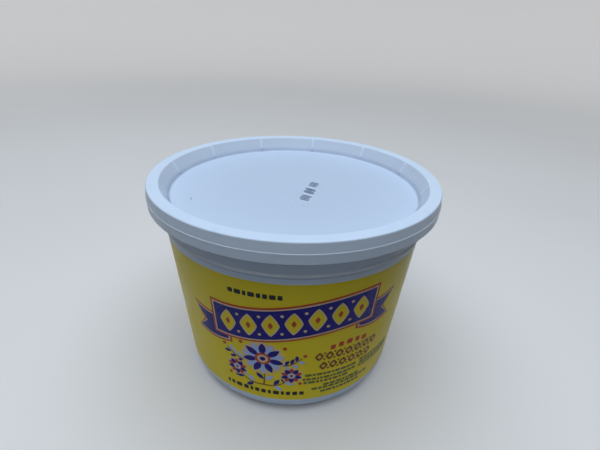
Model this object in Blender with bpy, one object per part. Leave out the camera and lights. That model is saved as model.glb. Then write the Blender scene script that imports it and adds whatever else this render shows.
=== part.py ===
"""Shut tub of peanut butter: a full, tapered round tub and the one-piece lid pressed over its rim.

The tub stands on z = 0 with its axis on Z. Both pieces are turned from a section through the axis.
Radii are taken from the axis; drops are measured down from the top of the lid's rim. All lengths are metres.
"""

import math

import bmesh
import bpy
from mathutils import Vector

# Whole tub
HEIGHT = 0.1276
FACETS = 72
ARC_STEP = math.radians(24)
MERGE_DISTANCE = 0.00001
SHARP_ANGLE = math.radians(35)
GAP = 0.0003

# Lid: a flat rim round a recessed panel, and a skirt with a small ledge half way down
LID_WALL = 0.0012
RIM_OUTER_RADIUS = 0.0853
RIM_INNER_RADIUS = 0.0787
RIM_OUTER_ROUND = 0.0008
RIM_INNER_ROUND = 0.0006
PANEL_RADIUS = 0.0740
PANEL_DROP = 0.0088
PANEL_ROUND = 0.0010
LEDGE_INNER_RADIUS = 0.0857
LEDGE_RADIUS = 0.0860
LEDGE_DROP = 0.00575
LEDGE_ROUND = 0.0002
SKIRT_RADIUS = 0.0856
SKIRT_DROP = 0.0112
SKIRT_ROUND = 0.0004
CHANNEL_ROUND = 0.0006

# Stacking ribs on the inner wall of the lid's rim
RIB_COUNT = 12
RIB_PHASE = math.radians(21.4)
RIB_WIDTH = 0.0011
RIB_HEIGHT = 0.0004
RIB_BURIED = 0.0006
RIB_TOP_DROP = 0.0012
RIB_FOOT_DROP = 0.0084

# Tub: a flange inside the lid's channel, a collar with a bead along its lower edge, and a straight tapered
# wall down to a rounded foot
FLANGE_RADIUS = 0.0836
FLANGE_DROP = 0.0050
FLANGE_FOOT_DROP = 0.0076
FLANGE_ROUND = 0.0006
COLLAR_DROP = 0.0234
COLLAR_STEP = 0.0006
COLLAR_ROUND = 0.0004
BEAD = 0.0004
BEAD_HEIGHT = 0.0022
BEAD_EDGE_HEIGHT = 0.00055
WALL_TOP_RADIUS = 0.0792
WALL_TOP_DROP = 0.01075
WALL_BASE_RADIUS = 0.0674
FOOT_ROUND = 0.0130
FOOT_RING_RADIUS = 0.0490
BASE_RECESS = 0.0010
BASE_RECESS_ROUND = 0.0006

# Finish of each piece as seen: linear colour, roughness and metallic value
WHITE_PLASTIC = ((0.78, 0.81, 0.84, 1.0), 0.42, 0.0)
YELLOW_PRINTED_PLASTIC = ((0.80, 0.60, 0.02, 1.0), 0.34, 0.0)


def clear_scene():
    """Remove every object that the file starts with."""
    for item in list(bpy.data.objects):
        bpy.data.objects.remove(item, do_unlink=True)


def plastic(name, finish):
    """Make a plastic from its colour, roughness and metallic value."""
    colour, roughness, metallic = finish
    material = bpy.data.materials.new(name)
    material.use_nodes = True
    shader = material.node_tree.nodes["Principled BSDF"]
    shader.inputs["Base Color"].default_value = colour
    shader.inputs["Roughness"].default_value = roughness
    shader.inputs["Metallic"].default_value = metallic
    material.diffuse_color = colour
    return material


def level(drop):
    """Height above the base of a point this far below the top of the rim."""
    return HEIGHT - drop


def inner_wall_radius(drop, depth=0.0):
    """Radius, at a drop, of the lid's sloping inner wall, or of the surface this far behind it."""
    slope = (RIM_INNER_RADIUS - PANEL_RADIUS) / PANEL_DROP
    return RIM_INNER_RADIUS - slope * drop + depth * math.hypot(1.0, slope)


def wall_radius(height):
    """Radius of the tub's straight tapered wall at a height above the base."""
    share = height / level(WALL_TOP_DROP)
    return WALL_BASE_RADIUS + (WALL_TOP_RADIUS - WALL_BASE_RADIUS) * share


def arc_at_corner(before, corner, after, radius):
    """Points of the arc of a given radius that touches both sides of a corner."""
    incoming = (before - corner).normalized()
    outgoing = (after - corner).normalized()
    half_angle = incoming.angle(outgoing) / 2
    centre = corner + (incoming + outgoing).normalized() * (radius / math.sin(half_angle))
    tangent_length = radius / math.tan(half_angle)
    first_spoke = (corner + incoming * tangent_length - centre).normalized()
    last_spoke = (corner + outgoing * tangent_length - centre).normalized()
    steps = max(1, math.ceil(first_spoke.angle(last_spoke) / ARC_STEP))
    return [centre + radius * first_spoke.slerp(last_spoke, step / steps) for step in range(steps + 1)]


def rounded_section(corners):
    """Turn corners (radius from the axis, height, rounding) into section points, with arcs where rounded."""
    places = [Vector((radius, height)) for radius, height, rounding in corners]
    points = []
    for index, (radius, height, rounding) in enumerate(corners):
        if rounding:
            points += arc_at_corner(places[index - 1], places[index], places[index + 1], rounding)
        else:
            points.append(places[index])
    return points


def turned(name, corners, material):
    """Spin a section into a piece; it runs from the axis at the top round the outside to the axis below."""
    shape = bmesh.new()
    section = [shape.verts.new((point.x, 0.0, point.y)) for point in rounded_section(corners)]
    sides = [shape.edges.new(pair) for pair in zip(section, section[1:])]
    bmesh.ops.spin(
        shape,
        geom=section + sides,
        cent=(0.0, 0.0, 0.0),
        axis=(0.0, 0.0, 1.0),
        angle=math.tau,
        steps=FACETS,
        use_merge=True,
    )
    bmesh.ops.remove_doubles(shape, verts=shape.verts, dist=MERGE_DISTANCE)
    bmesh.ops.recalc_face_normals(shape, faces=shape.faces)
    mesh = bpy.data.meshes.new(name)
    shape.to_mesh(mesh)
    shape.free()
    mesh.shade_smooth()
    mesh.set_sharp_from_angle(angle=SHARP_ANGLE)
    mesh.materials.append(material)
    piece = bpy.data.objects.new(name, mesh)
    bpy.context.collection.objects.link(piece)
    return piece


def lid_section():
    """Corners of the lid's section: panel, sloping inner wall, rim, stepped skirt and channel."""
    channel_outer_radius = SKIRT_RADIUS - LID_WALL
    return [
        (0.0, level(PANEL_DROP), 0),
        (PANEL_RADIUS, level(PANEL_DROP), PANEL_ROUND),
        (RIM_INNER_RADIUS, level(0.0), RIM_INNER_ROUND),
        (RIM_OUTER_RADIUS, level(0.0), RIM_OUTER_ROUND),
        (LEDGE_INNER_RADIUS, level(LEDGE_DROP), 0),
        (LEDGE_RADIUS, level(LEDGE_DROP), LEDGE_ROUND),
        (SKIRT_RADIUS, level(SKIRT_DROP), SKIRT_ROUND),
        (channel_outer_radius, level(SKIRT_DROP), SKIRT_ROUND),
        (channel_outer_radius, level(LID_WALL), CHANNEL_ROUND),
        (inner_wall_radius(LID_WALL, LID_WALL), level(LID_WALL), 0),
        (inner_wall_radius(PANEL_DROP + LID_WALL, LID_WALL), level(PANEL_DROP + LID_WALL), 0),
        (0.0, level(PANEL_DROP + LID_WALL), 0),
    ]


def tub_section():
    """Corners of the full tub's section: level top, flange, collar, tapered wall, rounded foot and base."""
    top_drop = PANEL_DROP + LID_WALL + GAP
    channel_drop = LID_WALL + GAP
    shoulder = level(COLLAR_DROP)
    bead_top = shoulder + BEAD_HEIGHT
    bead_radius = wall_radius(shoulder) + BEAD
    return [
        (0.0, level(top_drop), 0),
        (inner_wall_radius(top_drop, LID_WALL + GAP), level(top_drop), 0),
        (inner_wall_radius(channel_drop, LID_WALL + GAP), level(channel_drop), 0),
        (FLANGE_RADIUS, level(channel_drop), FLANGE_ROUND),
        (FLANGE_RADIUS, level(FLANGE_DROP), FLANGE_ROUND),
        (wall_radius(level(FLANGE_FOOT_DROP)), level(FLANGE_FOOT_DROP), 0),
        (wall_radius(bead_top), bead_top, 0),
        (bead_radius, shoulder + BEAD_EDGE_HEIGHT, 0),
        (bead_radius, shoulder, COLLAR_ROUND),
        (wall_radius(shoulder) - COLLAR_STEP, shoulder - COLLAR_STEP, 0),
        (WALL_BASE_RADIUS, 0.0, FOOT_ROUND),
        (FOOT_RING_RADIUS, 0.0, 0),
        (FOOT_RING_RADIUS - BASE_RECESS, BASE_RECESS, BASE_RECESS_ROUND),
        (0.0, BASE_RECESS, 0),
    ]


def rib_outline():
    """Section of one rib: a strip along the lid's inner wall, proud of it and sunk into it."""
    return [
        (inner_wall_radius(RIB_TOP_DROP, RIB_BURIED), level(RIB_TOP_DROP)),
        (inner_wall_radius(RIB_TOP_DROP), level(RIB_TOP_DROP)),
        (inner_wall_radius(RIB_TOP_DROP + RIB_HEIGHT, -RIB_HEIGHT), level(RIB_TOP_DROP + RIB_HEIGHT)),
        (inner_wall_radius(RIB_FOOT_DROP, -RIB_HEIGHT), level(RIB_FOOT_DROP)),
        (inner_wall_radius(RIB_FOOT_DROP, RIB_BURIED), level(RIB_FOOT_DROP)),
    ]


def stacking_ribs():
    """One mesh with all the ribs, each extruded across its width and turned to its own angle."""
    mesh = bpy.data.meshes.new("stacking_ribs")
    ribs = bmesh.new()
    for index in range(RIB_COUNT):
        angle = RIB_PHASE + math.tau * index / RIB_COUNT
        along = Vector((math.cos(angle), math.sin(angle), 0.0))
        across = Vector((-math.sin(angle), math.cos(angle), 0.0))
        side = across * (-RIB_WIDTH / 2)
        places = [along * radius + side + Vector((0.0, 0.0, height)) for radius, height in rib_outline()]
        face = ribs.faces.new([ribs.verts.new(place) for place in places])
        extruded = bmesh.ops.extrude_face_region(ribs, geom=[face])
        moved = [item for item in extruded["geom"] if isinstance(item, bmesh.types.BMVert)]
        bmesh.ops.translate(ribs, verts=moved, vec=across * RIB_WIDTH)
    bmesh.ops.recalc_face_normals(ribs, faces=ribs.faces)
    ribs.to_mesh(mesh)
    ribs.free()
    guide = bpy.data.objects.new("stacking_ribs", mesh)
    bpy.context.collection.objects.link(guide)
    guide.hide_render = True
    guide.display_type = "WIRE"
    return guide


def fuse(piece, addition):
    """Fuse another mesh to a piece."""
    union = piece.modifiers.new("Fused ribs", "BOOLEAN")
    union.operation = "UNION"
    union.solver = "EXACT"
    union.object = addition


def main():
    """Build the tub and the lid that closes it."""
    clear_scene()
    turned("tub", tub_section(), plastic("yellow printed plastic", YELLOW_PRINTED_PLASTIC))
    lid = turned("lid", lid_section(), plastic("white plastic", WHITE_PLASTIC))
    fuse(lid, stacking_ribs())


main()
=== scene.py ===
"""Looks of a shut tub of peanut butter: its moulded shells, the print on its wall and a plain studio.

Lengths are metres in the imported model's frame: the tub stands on z = 0 with its axis on Z, and the middle of
its print faces -Y. Drops are measured down from the top of the lid's rim. A figure of the print, or of the
marks sprayed on the lid, is drawn in millimetres on a flat sheet, across and up, that is laid on the
plastic.
"""

import logging
import math
from abc import ABC, abstractmethod
from dataclasses import dataclass
from enum import Enum
from typing import Iterable, Sequence

import bpy
import numpy as np
from mathutils import Matrix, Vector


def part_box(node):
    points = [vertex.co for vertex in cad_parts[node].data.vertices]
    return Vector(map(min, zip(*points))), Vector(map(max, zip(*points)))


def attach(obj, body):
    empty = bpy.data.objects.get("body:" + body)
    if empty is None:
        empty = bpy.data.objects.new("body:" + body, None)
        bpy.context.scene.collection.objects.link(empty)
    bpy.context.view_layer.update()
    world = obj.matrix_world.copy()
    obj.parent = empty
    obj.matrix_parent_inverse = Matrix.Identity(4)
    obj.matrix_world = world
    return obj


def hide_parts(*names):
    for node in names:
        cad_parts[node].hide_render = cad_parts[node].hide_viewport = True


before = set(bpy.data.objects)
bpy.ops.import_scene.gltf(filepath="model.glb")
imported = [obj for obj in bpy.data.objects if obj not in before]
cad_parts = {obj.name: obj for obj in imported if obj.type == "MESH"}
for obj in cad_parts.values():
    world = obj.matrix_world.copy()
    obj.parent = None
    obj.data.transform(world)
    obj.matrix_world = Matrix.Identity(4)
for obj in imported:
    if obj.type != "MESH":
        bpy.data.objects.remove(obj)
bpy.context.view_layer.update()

LOG = logging.getLogger("peanut_butter_tub")
Array = np.ndarray
Pair = tuple[float, float]
Triple = tuple[float, float, float]
Colour = Triple
Socket = bpy.types.NodeSocket
Material = bpy.types.Material
Object = bpy.types.Object

MILLIMETRE = 0.001
BODY = "root"
WHITE_SLOT = "white_plastic"
STAMP_SLOT = "date_ink"
SHARP_ANGLE = math.radians(32)
PLASTIC_IOR = 1.5

# Height of the first layer of ink above the plastic, of each layer above the one under it, and how far down
# the back of every printed plate lies in the plastic
FIRST_LAYER = 0.05 * MILLIMETRE
LAYER = 0.03 * MILLIMETRE
SUNK = -0.05 * MILLIMETRE

# Powers of the outlines that power_outline draws
SOFT_LOZENGE = 1.25
PLUMP_LOZENGE = 1.3
ELLIPSE = 2.0
STUB = 3.0
BAR = 6.0


class Ink(Enum):
    """Inks of the print, each with the record's material slot that it takes."""

    YELLOW = "yellow_print"
    NAVY = "navy_print"
    RED = "red_print"
    CREAM = "cream_print"
    BROWN = "brown_print"
    BLACK = "black_print"
    GREY_GREEN = "grey_green_print"
    PALE_BLUE = "pale_blue_print"


class Side(Enum):
    """Sides of the tub that carry print, each with the azimuth of its middle in degrees."""

    FRONT = -87.5
    RIGHT = 2.5
    BACK = 92.5
    LEFT = 182.5


# Meshes


@dataclass(frozen=True)
class Surface:
    """Points and faces of one or more closed forms.

    Attributes:
        points: Places of the points, one row each.
        quads: Four point numbers for each four-sided face.
        triangles: Three point numbers for each three-sided face.
    """

    points: Array
    quads: Array
    triangles: Array

    def mesh(self, name: str) -> bpy.types.Mesh:
        """Make a mesh of the surface, shaded smooth but for the edges that turn sharply.

        Args:
            name: Name of the new mesh.

        Returns:
            The mesh.
        """
        sides = np.concatenate([np.full(len(self.quads), 4), np.full(len(self.triangles), 3)])
        corners = np.concatenate([self.quads.ravel(), self.triangles.ravel()])
        starts = np.cumsum(sides) - sides
        mesh = bpy.data.meshes.new(name)
        mesh.vertices.add(len(self.points))
        mesh.vertices.foreach_set("co", self.points.astype(np.float32).ravel())
        mesh.loops.add(len(corners))
        mesh.loops.foreach_set("vertex_index", corners.astype(np.int32))
        mesh.polygons.add(len(sides))
        mesh.polygons.foreach_set("loop_start", starts.astype(np.int32))
        mesh.update(calc_edges=True)
        mesh.shade_smooth()
        mesh.set_sharp_from_angle(angle=SHARP_ANGLE)
        return mesh


def joined(surfaces: Sequence[Surface]) -> Surface:
    """Put several surfaces into one, each one's point numbers moved on by the points before it.

    Args:
        surfaces: The surfaces to join.

    Returns:
        One surface that holds them all.
    """
    counts = np.array([len(surface.points) for surface in surfaces])
    shifts = np.cumsum(counts) - counts
    return Surface(
        np.concatenate([surface.points for surface in surfaces]),
        np.concatenate([surface.quads + shift for surface, shift in zip(surfaces, shifts)]),
        np.concatenate([surface.triangles + shift for surface, shift in zip(surfaces, shifts)]),
    )


def round_faces(rings: int, around: int, copies: int) -> tuple[Array, Array]:
    """Faces of closed round forms, each made of a pole, rings of points and a second pole.

    A quad joins two neighbours of one ring to the same two of the next, and a fan of triangles closes each
    pole.

    Args:
        rings: Rings of points in one form.
        around: Points in one ring.
        copies: Number of forms, whose points follow one another.

    Returns:
        The quads and the triangles.
    """
    ring = 1 + np.arange(rings * around).reshape(rings, around)
    following = np.roll(ring, -1, axis=1)
    quads = np.stack([ring[:-1], ring[1:], following[1:], following[:-1]], axis=-1).reshape(-1, 4)
    last_pole = rings * around + 1
    first_fan = np.stack([np.zeros(around, int), ring[0], following[0]], axis=-1)
    last_fan = np.stack([np.full(around, last_pole), following[-1], ring[-1]], axis=-1)
    triangles = np.concatenate([first_fan, last_fan])
    shifts = np.arange(copies)[:, None, None] * (last_pole + 1)
    return (quads[None] + shifts).reshape(-1, 4), (triangles[None] + shifts).reshape(-1, 3)


def plate_faces(columns: int, rows: int) -> Array:
    """Quads of a thin plate: a front grid, the back grid that follows it, and the border between the two.

    Args:
        columns: Points along the plate.
        rows: Points across the plate.

    Returns:
        The quads.
    """
    count = rows * columns
    front = np.arange(count).reshape(rows, columns)
    faces = np.stack([front[:-1, :-1], front[:-1, 1:], front[1:, 1:], front[1:, :-1]], axis=-1).reshape(-1, 4)
    border = np.concatenate([front[0, :-1], front[:-1, -1], front[-1, :0:-1], front[:0:-1, 0]])
    following = np.roll(border, -1)
    edge = np.stack([border, border + count, following + count, following], axis=-1)
    return np.concatenate([faces, faces[:, ::-1] + count, edge])


def turns_round(count: int) -> Array:
    """Angles that go once round in even steps."""
    return np.arange(count) * math.tau / count


@dataclass(frozen=True)
class Corner:
    """One corner of a turned section.

    Attributes:
        radius: Distance from the axis.
        height: Height above the base.
        rounding: Radius of the arc that replaces the corner, or 0 for a plain corner.
        step: Longest step between points on the straight run that leads to the corner.
    """

    radius: float
    height: float
    rounding: float = 0.0
    step: float = 5.0 * MILLIMETRE


@dataclass(frozen=True)
class Section:
    """A section that is turned about the axis, from the axis at the top round the outside to the axis below.

    Attributes:
        corners: Its corners in order.
        arc_steps: Steps in each arc.
        hold: Distance from a run's ends to the points that keep its shading flat.
    """

    corners: tuple[Corner, ...]
    arc_steps: int = 8
    hold: float = 0.25 * MILLIMETRE

    def arc(self, index: int) -> Array:
        """Points of the arc at a rounded corner.

        The centre lies on the bisector, the rounding over the sine of half the corner's angle away from it,
        and the points turn in even steps from one side's touching point to the other's.

        Args:
            index: Number of the corner.

        Returns:
            The arc's points, as radius and height.
        """
        three = self.corners[index - 1 : index + 2]
        before, corner, after = (np.array([item.radius, item.height]) for item in three)
        rounding = self.corners[index].rounding
        incoming = (before - corner) / np.linalg.norm(before - corner)
        outgoing = (after - corner) / np.linalg.norm(after - corner)
        half_angle = math.acos(float(incoming @ outgoing)) / 2
        bisector = (incoming + outgoing) / np.linalg.norm(incoming + outgoing)
        centre = corner + bisector * rounding / math.sin(half_angle)
        touching = rounding / math.tan(half_angle)
        first = corner + incoming * touching - centre
        last = corner + outgoing * touching - centre
        swept = math.pi - 2 * half_angle
        share = np.linspace(0.0, 1.0, self.arc_steps + 1)[:, None]
        return centre + (np.sin((1 - share) * swept) * first + np.sin(share * swept) * last) / math.sin(swept)

    def points(self) -> Array:
        """Points of the whole section: arcs at the rounded corners, and runs split between them.

        Returns:
            One row of radius and height for each point.
        """
        pieces = [
            self.arc(index) if corner.rounding else np.array([[corner.radius, corner.height]])
            for index, corner in enumerate(self.corners)
        ]
        rows = [pieces[0]]
        for corner, before, after in zip(self.corners[1:], pieces, pieces[1:]):
            run = after[0] - before[-1]
            length = float(np.linalg.norm(run))
            held = length - 2 * self.hold
            if held > self.hold:
                steps = max(1, math.ceil(held / corner.step))
                along = self.hold + held * np.linspace(0.0, 1.0, steps + 1)
                rows.append(before[-1] + run * (along / length)[:, None])
            rows.append(after)
        return np.concatenate(rows)


def turned(section: Array, azimuths: Array, inward: Array | None = None) -> Surface:
    """Turn a section about the axis.

    A point lies at its radius along a column's azimuth, at its own height. The section's two ends are poles.

    Args:
        section: Radius and height of the section's points.
        azimuths: Azimuths of the columns, in radians, rising.
        inward: How far each point moves towards the axis: a row for each section point, one value a column.

    Returns:
        The closed surface.
    """
    radius = np.repeat(section[1:-1, :1], len(azimuths), axis=1)
    if inward is not None:
        radius = radius - inward[1:-1]
    height = np.repeat(section[1:-1, 1:], len(azimuths), axis=1)
    grid = np.stack([radius * np.cos(azimuths), radius * np.sin(azimuths), height], axis=-1)
    poles = np.array([[0.0, 0.0, section[0, 1]], [0.0, 0.0, section[-1, 1]]])
    quads, triangles = round_faces(len(section) - 2, len(azimuths), 1)
    return Surface(np.concatenate([poles[:1], grid.reshape(-1, 3), poles[1:]]), quads, triangles)


# Finishes


@dataclass(frozen=True)
class Pattern:
    """Patches of noise: their share rises from least to most as the noise goes from low to high.

    Attributes:
        scale: Spots for each metre.
        detail: Octaves of finer noise.
        low: Noise up to which the share is the least.
        high: Noise from which it is the most.
        least: The least share.
        most: The greatest share.
        squeeze: Factor along X, Y and Z by which the patches are squeezed.
    """

    scale: float
    detail: float
    low: float
    high: float
    least: float = 0.0
    most: float = 1.0
    squeeze: Triple = (1.0, 1.0, 1.0)


@dataclass(frozen=True)
class Relief:
    """Fine relief of a surface.

    Attributes:
        scale: Spots for each metre.
        detail: Octaves of finer noise.
        depth: Its depth in metres.
    """

    scale: float
    detail: float
    depth: float


class NodeSheet:
    """Node tree of one material, with short calls that add a node and give its output."""

    COLOUR_MIX_INPUTS = (6, 7)
    COLOUR_MIX_OUTPUT = 2

    def __init__(self, name: str) -> None:
        """Start a material with only its shader.

        Args:
            name: Name of the material.
        """
        self.material = bpy.data.materials.new(name)
        self.material.use_nodes = True
        self.tree = self.material.node_tree
        self.shader = self.tree.nodes["Principled BSDF"]
        self.place = self.tree.nodes.new("ShaderNodeTexCoord").outputs["Object"]

    def set(self, socket: str, value: float | Colour) -> None:
        """Give one of the shader's sockets, by its name, a number or a linear colour."""
        self.fill(self.shader.inputs[socket], value)

    def feed(self, socket: str, source: Socket) -> None:
        """Feed one of the shader's sockets, by its name, from a node's output."""
        self.tree.links.new(source, self.shader.inputs[socket])

    def fill(self, socket: Socket, value: Socket | float | Colour) -> None:
        """Link an output to an input socket, or set the input to a number or a colour.

        Args:
            socket: The input socket.
            value: The output, number or colour.
        """
        if isinstance(value, Socket):
            self.tree.links.new(value, socket)
        elif isinstance(value, tuple):
            socket.default_value = (*value, 1.0)
        else:
            socket.default_value = value

    def noise(self, scale: float, detail: float, squeeze: Triple = (1.0, 1.0, 1.0)) -> Socket:
        """Noise from 0 to 1, read at the object's coordinates times the squeeze.

        Args:
            scale: Spots for each metre.
            detail: Octaves of finer noise.
            squeeze: Factor along X, Y and Z.

        Returns:
            The noise value.
        """
        mapping = self.tree.nodes.new("ShaderNodeMapping")
        mapping.inputs["Scale"].default_value = squeeze
        self.fill(mapping.inputs["Vector"], self.place)
        node = self.tree.nodes.new("ShaderNodeTexNoise")
        node.inputs["Scale"].default_value = scale
        node.inputs["Detail"].default_value = detail
        self.fill(node.inputs["Vector"], mapping.outputs["Vector"])
        return node.outputs["Fac"]

    def ramp(self, value: Socket, span: Pair, start: float = 0.0, end: float = 1.0) -> Socket:
        """Smoothly map a value from one range to another, held at both ends.

        Args:
            value: The value to map.
            span: Values at which the result leaves its start and reaches its end.
            start: Result at the span's first value and before it.
            end: Result at its second value and past it.

        Returns:
            The mapped value.
        """
        node = self.tree.nodes.new("ShaderNodeMapRange")
        node.interpolation_type = "SMOOTHSTEP"
        for name, setting in zip(("From Min", "From Max", "To Min", "To Max"), (*span, start, end)):
            node.inputs[name].default_value = setting
        self.fill(node.inputs["Value"], value)
        return node.outputs["Result"]

    def patches(self, pattern: Pattern) -> Socket:
        """Share of a pattern's patches: its noise, ramped from its least share to its most."""
        noise = self.noise(pattern.scale, pattern.detail, pattern.squeeze)
        return self.ramp(noise, (pattern.low, pattern.high), pattern.least, pattern.most)

    def combined(self, operation: str, first: Socket, second: Socket | float) -> Socket:
        """Combine two values.

        Args:
            operation: Blender's name of the operation, such as MULTIPLY.
            first: The first value.
            second: The second value, or a constant.

        Returns:
            The result.
        """
        node = self.tree.nodes.new("ShaderNodeMath")
        node.operation = operation
        self.fill(node.inputs[0], first)
        self.fill(node.inputs[1], second)
        return node.outputs["Value"]

    def product(self, first: Socket, second: Socket | float) -> Socket:
        """Product of two values."""
        return self.combined("MULTIPLY", first, second)

    def band(self, value: Socket, rise: Pair, fall: Pair) -> Socket:
        """Share that rises to 1 over one span of a value and falls to 0 over a later one."""
        return self.product(self.ramp(value, rise), self.ramp(value, fall, 1.0, 0.0))

    def blend(self, share: Socket, first: Socket | Colour, second: Socket | Colour) -> Socket:
        """Blend two colours.

        Args:
            share: Share of the second colour.
            first: Colour at share 0.
            second: Colour at share 1.

        Returns:
            The blended colour.
        """
        node = self.tree.nodes.new("ShaderNodeMix")
        node.data_type = "RGBA"
        self.fill(node.inputs["Factor"], share)
        for index, colour in zip(self.COLOUR_MIX_INPUTS, (first, second)):
            self.fill(node.inputs[index], colour)
        return node.outputs[self.COLOUR_MIX_OUTPUT]

    def axis(self, name: str) -> Socket:
        """One of the shaded place's coordinates.

        Args:
            name: X, Y or Z.

        Returns:
            The coordinate in metres.
        """
        parts = self.tree.nodes.new("ShaderNodeSeparateXYZ")
        self.fill(parts.inputs["Vector"], self.place)
        return parts.outputs[name]

    def radius(self) -> Socket:
        """Distance of the shaded place from the axis, in metres: the root of the sum of two squares."""
        squares = [self.product(axis, axis) for axis in (self.axis("X"), self.axis("Y"))]
        return self.combined("POWER", self.combined("ADD", *squares), 0.5)

    def azimuth(self) -> Socket:
        """Azimuth of the shaded place about the axis, in radians from X."""
        return self.combined("ARCTAN2", self.axis("Y"), self.axis("X"))

    def bump(self, reliefs: Sequence[Relief], extra: Sequence[tuple[Socket, float]] = ()) -> None:
        """Feed the shader's normal from several heights laid over one another.

        Args:
            reliefs: Reliefs made of noise.
            extra: Pairs of another height, from 0 to 1, and its depth in metres.
        """
        made = [(self.noise(relief.scale, relief.detail), relief.depth) for relief in reliefs]
        normal: Socket | None = None
        for height, depth in [*made, *extra]:
            node = self.tree.nodes.new("ShaderNodeBump")
            node.inputs["Distance"].default_value = depth
            self.fill(node.inputs["Height"], height)
            if normal is not None:
                self.fill(node.inputs["Normal"], normal)
            normal = node.outputs["Normal"]
        self.feed("Normal", normal)


@dataclass(frozen=True)
class MouldedPlastic:
    """Satin white plastic: faint mottling, fine moulding texture, and short scuffs from handling.

    Attributes:
        name: Name of the material.
        colour: Linear colour of clean plastic.
        mottled: Colour of its faintly darker patches.
        scuffed: Colour of the scuffs.
        mottling: Pattern of the darker patches.
        scuffs: Pattern of the scuffs.
        polish: Pattern of the roughness.
        scuff_roughness: Roughness that a scuff adds.
        scuff_depth: Depth of a scuff.
        reliefs: Its moulding texture.
    """

    name: str
    colour: Colour
    mottled: Colour
    scuffed: Colour
    mottling: Pattern = Pattern(38.0, 3.0, 0.35, 0.7)
    scuffs: Pattern = Pattern(70.0, 5.0, 0.66, 0.76, squeeze=(1.0, 1.0, 4.0))
    polish: Pattern = Pattern(90.0, 4.0, 0.3, 0.7, least=0.34, most=0.46)
    scuff_roughness: float = 0.1
    scuff_depth: float = 0.010 * MILLIMETRE
    reliefs: tuple[Relief, ...] = (
        Relief(24.0, 1.0, 0.10 * MILLIMETRE),
        Relief(1300.0, 2.0, 0.010 * MILLIMETRE),
    )

    def plain_colour(self, sheet: NodeSheet) -> Socket:
        """Colour of the plastic before it is scuffed."""
        return sheet.blend(sheet.patches(self.mottling), self.colour, self.mottled)

    def make(self) -> Material:
        """Make the material.

        Returns:
            The material.
        """
        sheet = NodeSheet(self.name)
        scuffs = sheet.patches(self.scuffs)
        sheet.feed("Base Color", sheet.blend(scuffs, self.plain_colour(sheet), self.scuffed))
        rougher = sheet.product(scuffs, self.scuff_roughness)
        sheet.feed("Roughness", sheet.combined("ADD", sheet.patches(self.polish), rougher))
        sheet.set("IOR", PLASTIC_IOR)
        sheet.bump(self.reliefs, [(scuffs, self.scuff_depth)])
        return sheet.material


@dataclass(frozen=True)
class TubPlastic(MouldedPlastic):
    """The tub's plastic, with a painted highlight along the collar's bead and painted shade in the groove
    under it.

    Attributes:
        shoulder: Height of the collar's lower edge.
        painted_highlight: Colour of the painted highlight on the bead.
        highlight_span: Edges of the painted highlight's band, above the shoulder.
        highlight_patches: Pattern of the painted highlight.
        painted_shade: Colour of the painted shade in the groove.
        shade_span: Edges of the painted shade's band, above the shoulder.
        shade_patches: Pattern of the painted shade.
        fade: Width over which a band fades.
    """

    shoulder: float = 0.0
    # Painted highlight along the face of the collar's bead, and painted shade in the groove under it
    painted_highlight: Colour = (0.90, 0.92, 0.93)
    highlight_span: Pair = (0.6 * MILLIMETRE, 1.6 * MILLIMETRE)
    highlight_patches: Pattern = Pattern(45.0, 3.0, 0.25, 0.7, least=0.4)
    # Painted shade in the groove under the bead
    painted_shade: Colour = (0.40, 0.47, 0.56)
    shade_span: Pair = (-1.3 * MILLIMETRE, -0.3 * MILLIMETRE)
    shade_patches: Pattern = Pattern(45.0, 3.0, 0.25, 0.7, least=0.6)
    fade: float = 0.4 * MILLIMETRE

    def round_band(self, sheet: NodeSheet, span: Pair, patches: Pattern) -> Socket:
        """Share of a patchy band that runs round the tub.

        Args:
            sheet: The material's nodes.
            span: Edges of the band, above the shoulder.
            patches: Pattern of the band.

        Returns:
            The share.
        """
        lower, upper = self.shoulder + span[0], self.shoulder + span[1]
        band = sheet.band(sheet.axis("Z"), (lower - self.fade, lower), (upper, upper + self.fade))
        return sheet.product(band, sheet.patches(patches))

    def plain_colour(self, sheet: NodeSheet) -> Socket:
        """Colour of the plastic before it is scuffed: mottled, with a painted highlight band and a painted
        shade band over it.

        Args:
            sheet: The material's nodes.

        Returns:
            The colour.
        """
        # Lay a painted highlight on the bead, then painted shade in the groove under it
        painted_highlight = self.round_band(sheet, self.highlight_span, self.highlight_patches)
        worn_or_painted_light = sheet.blend(painted_highlight, super().plain_colour(sheet), self.painted_highlight)
        return sheet.blend(self.round_band(sheet, self.shade_span, self.shade_patches), worn_or_painted_light, self.painted_shade)


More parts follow.
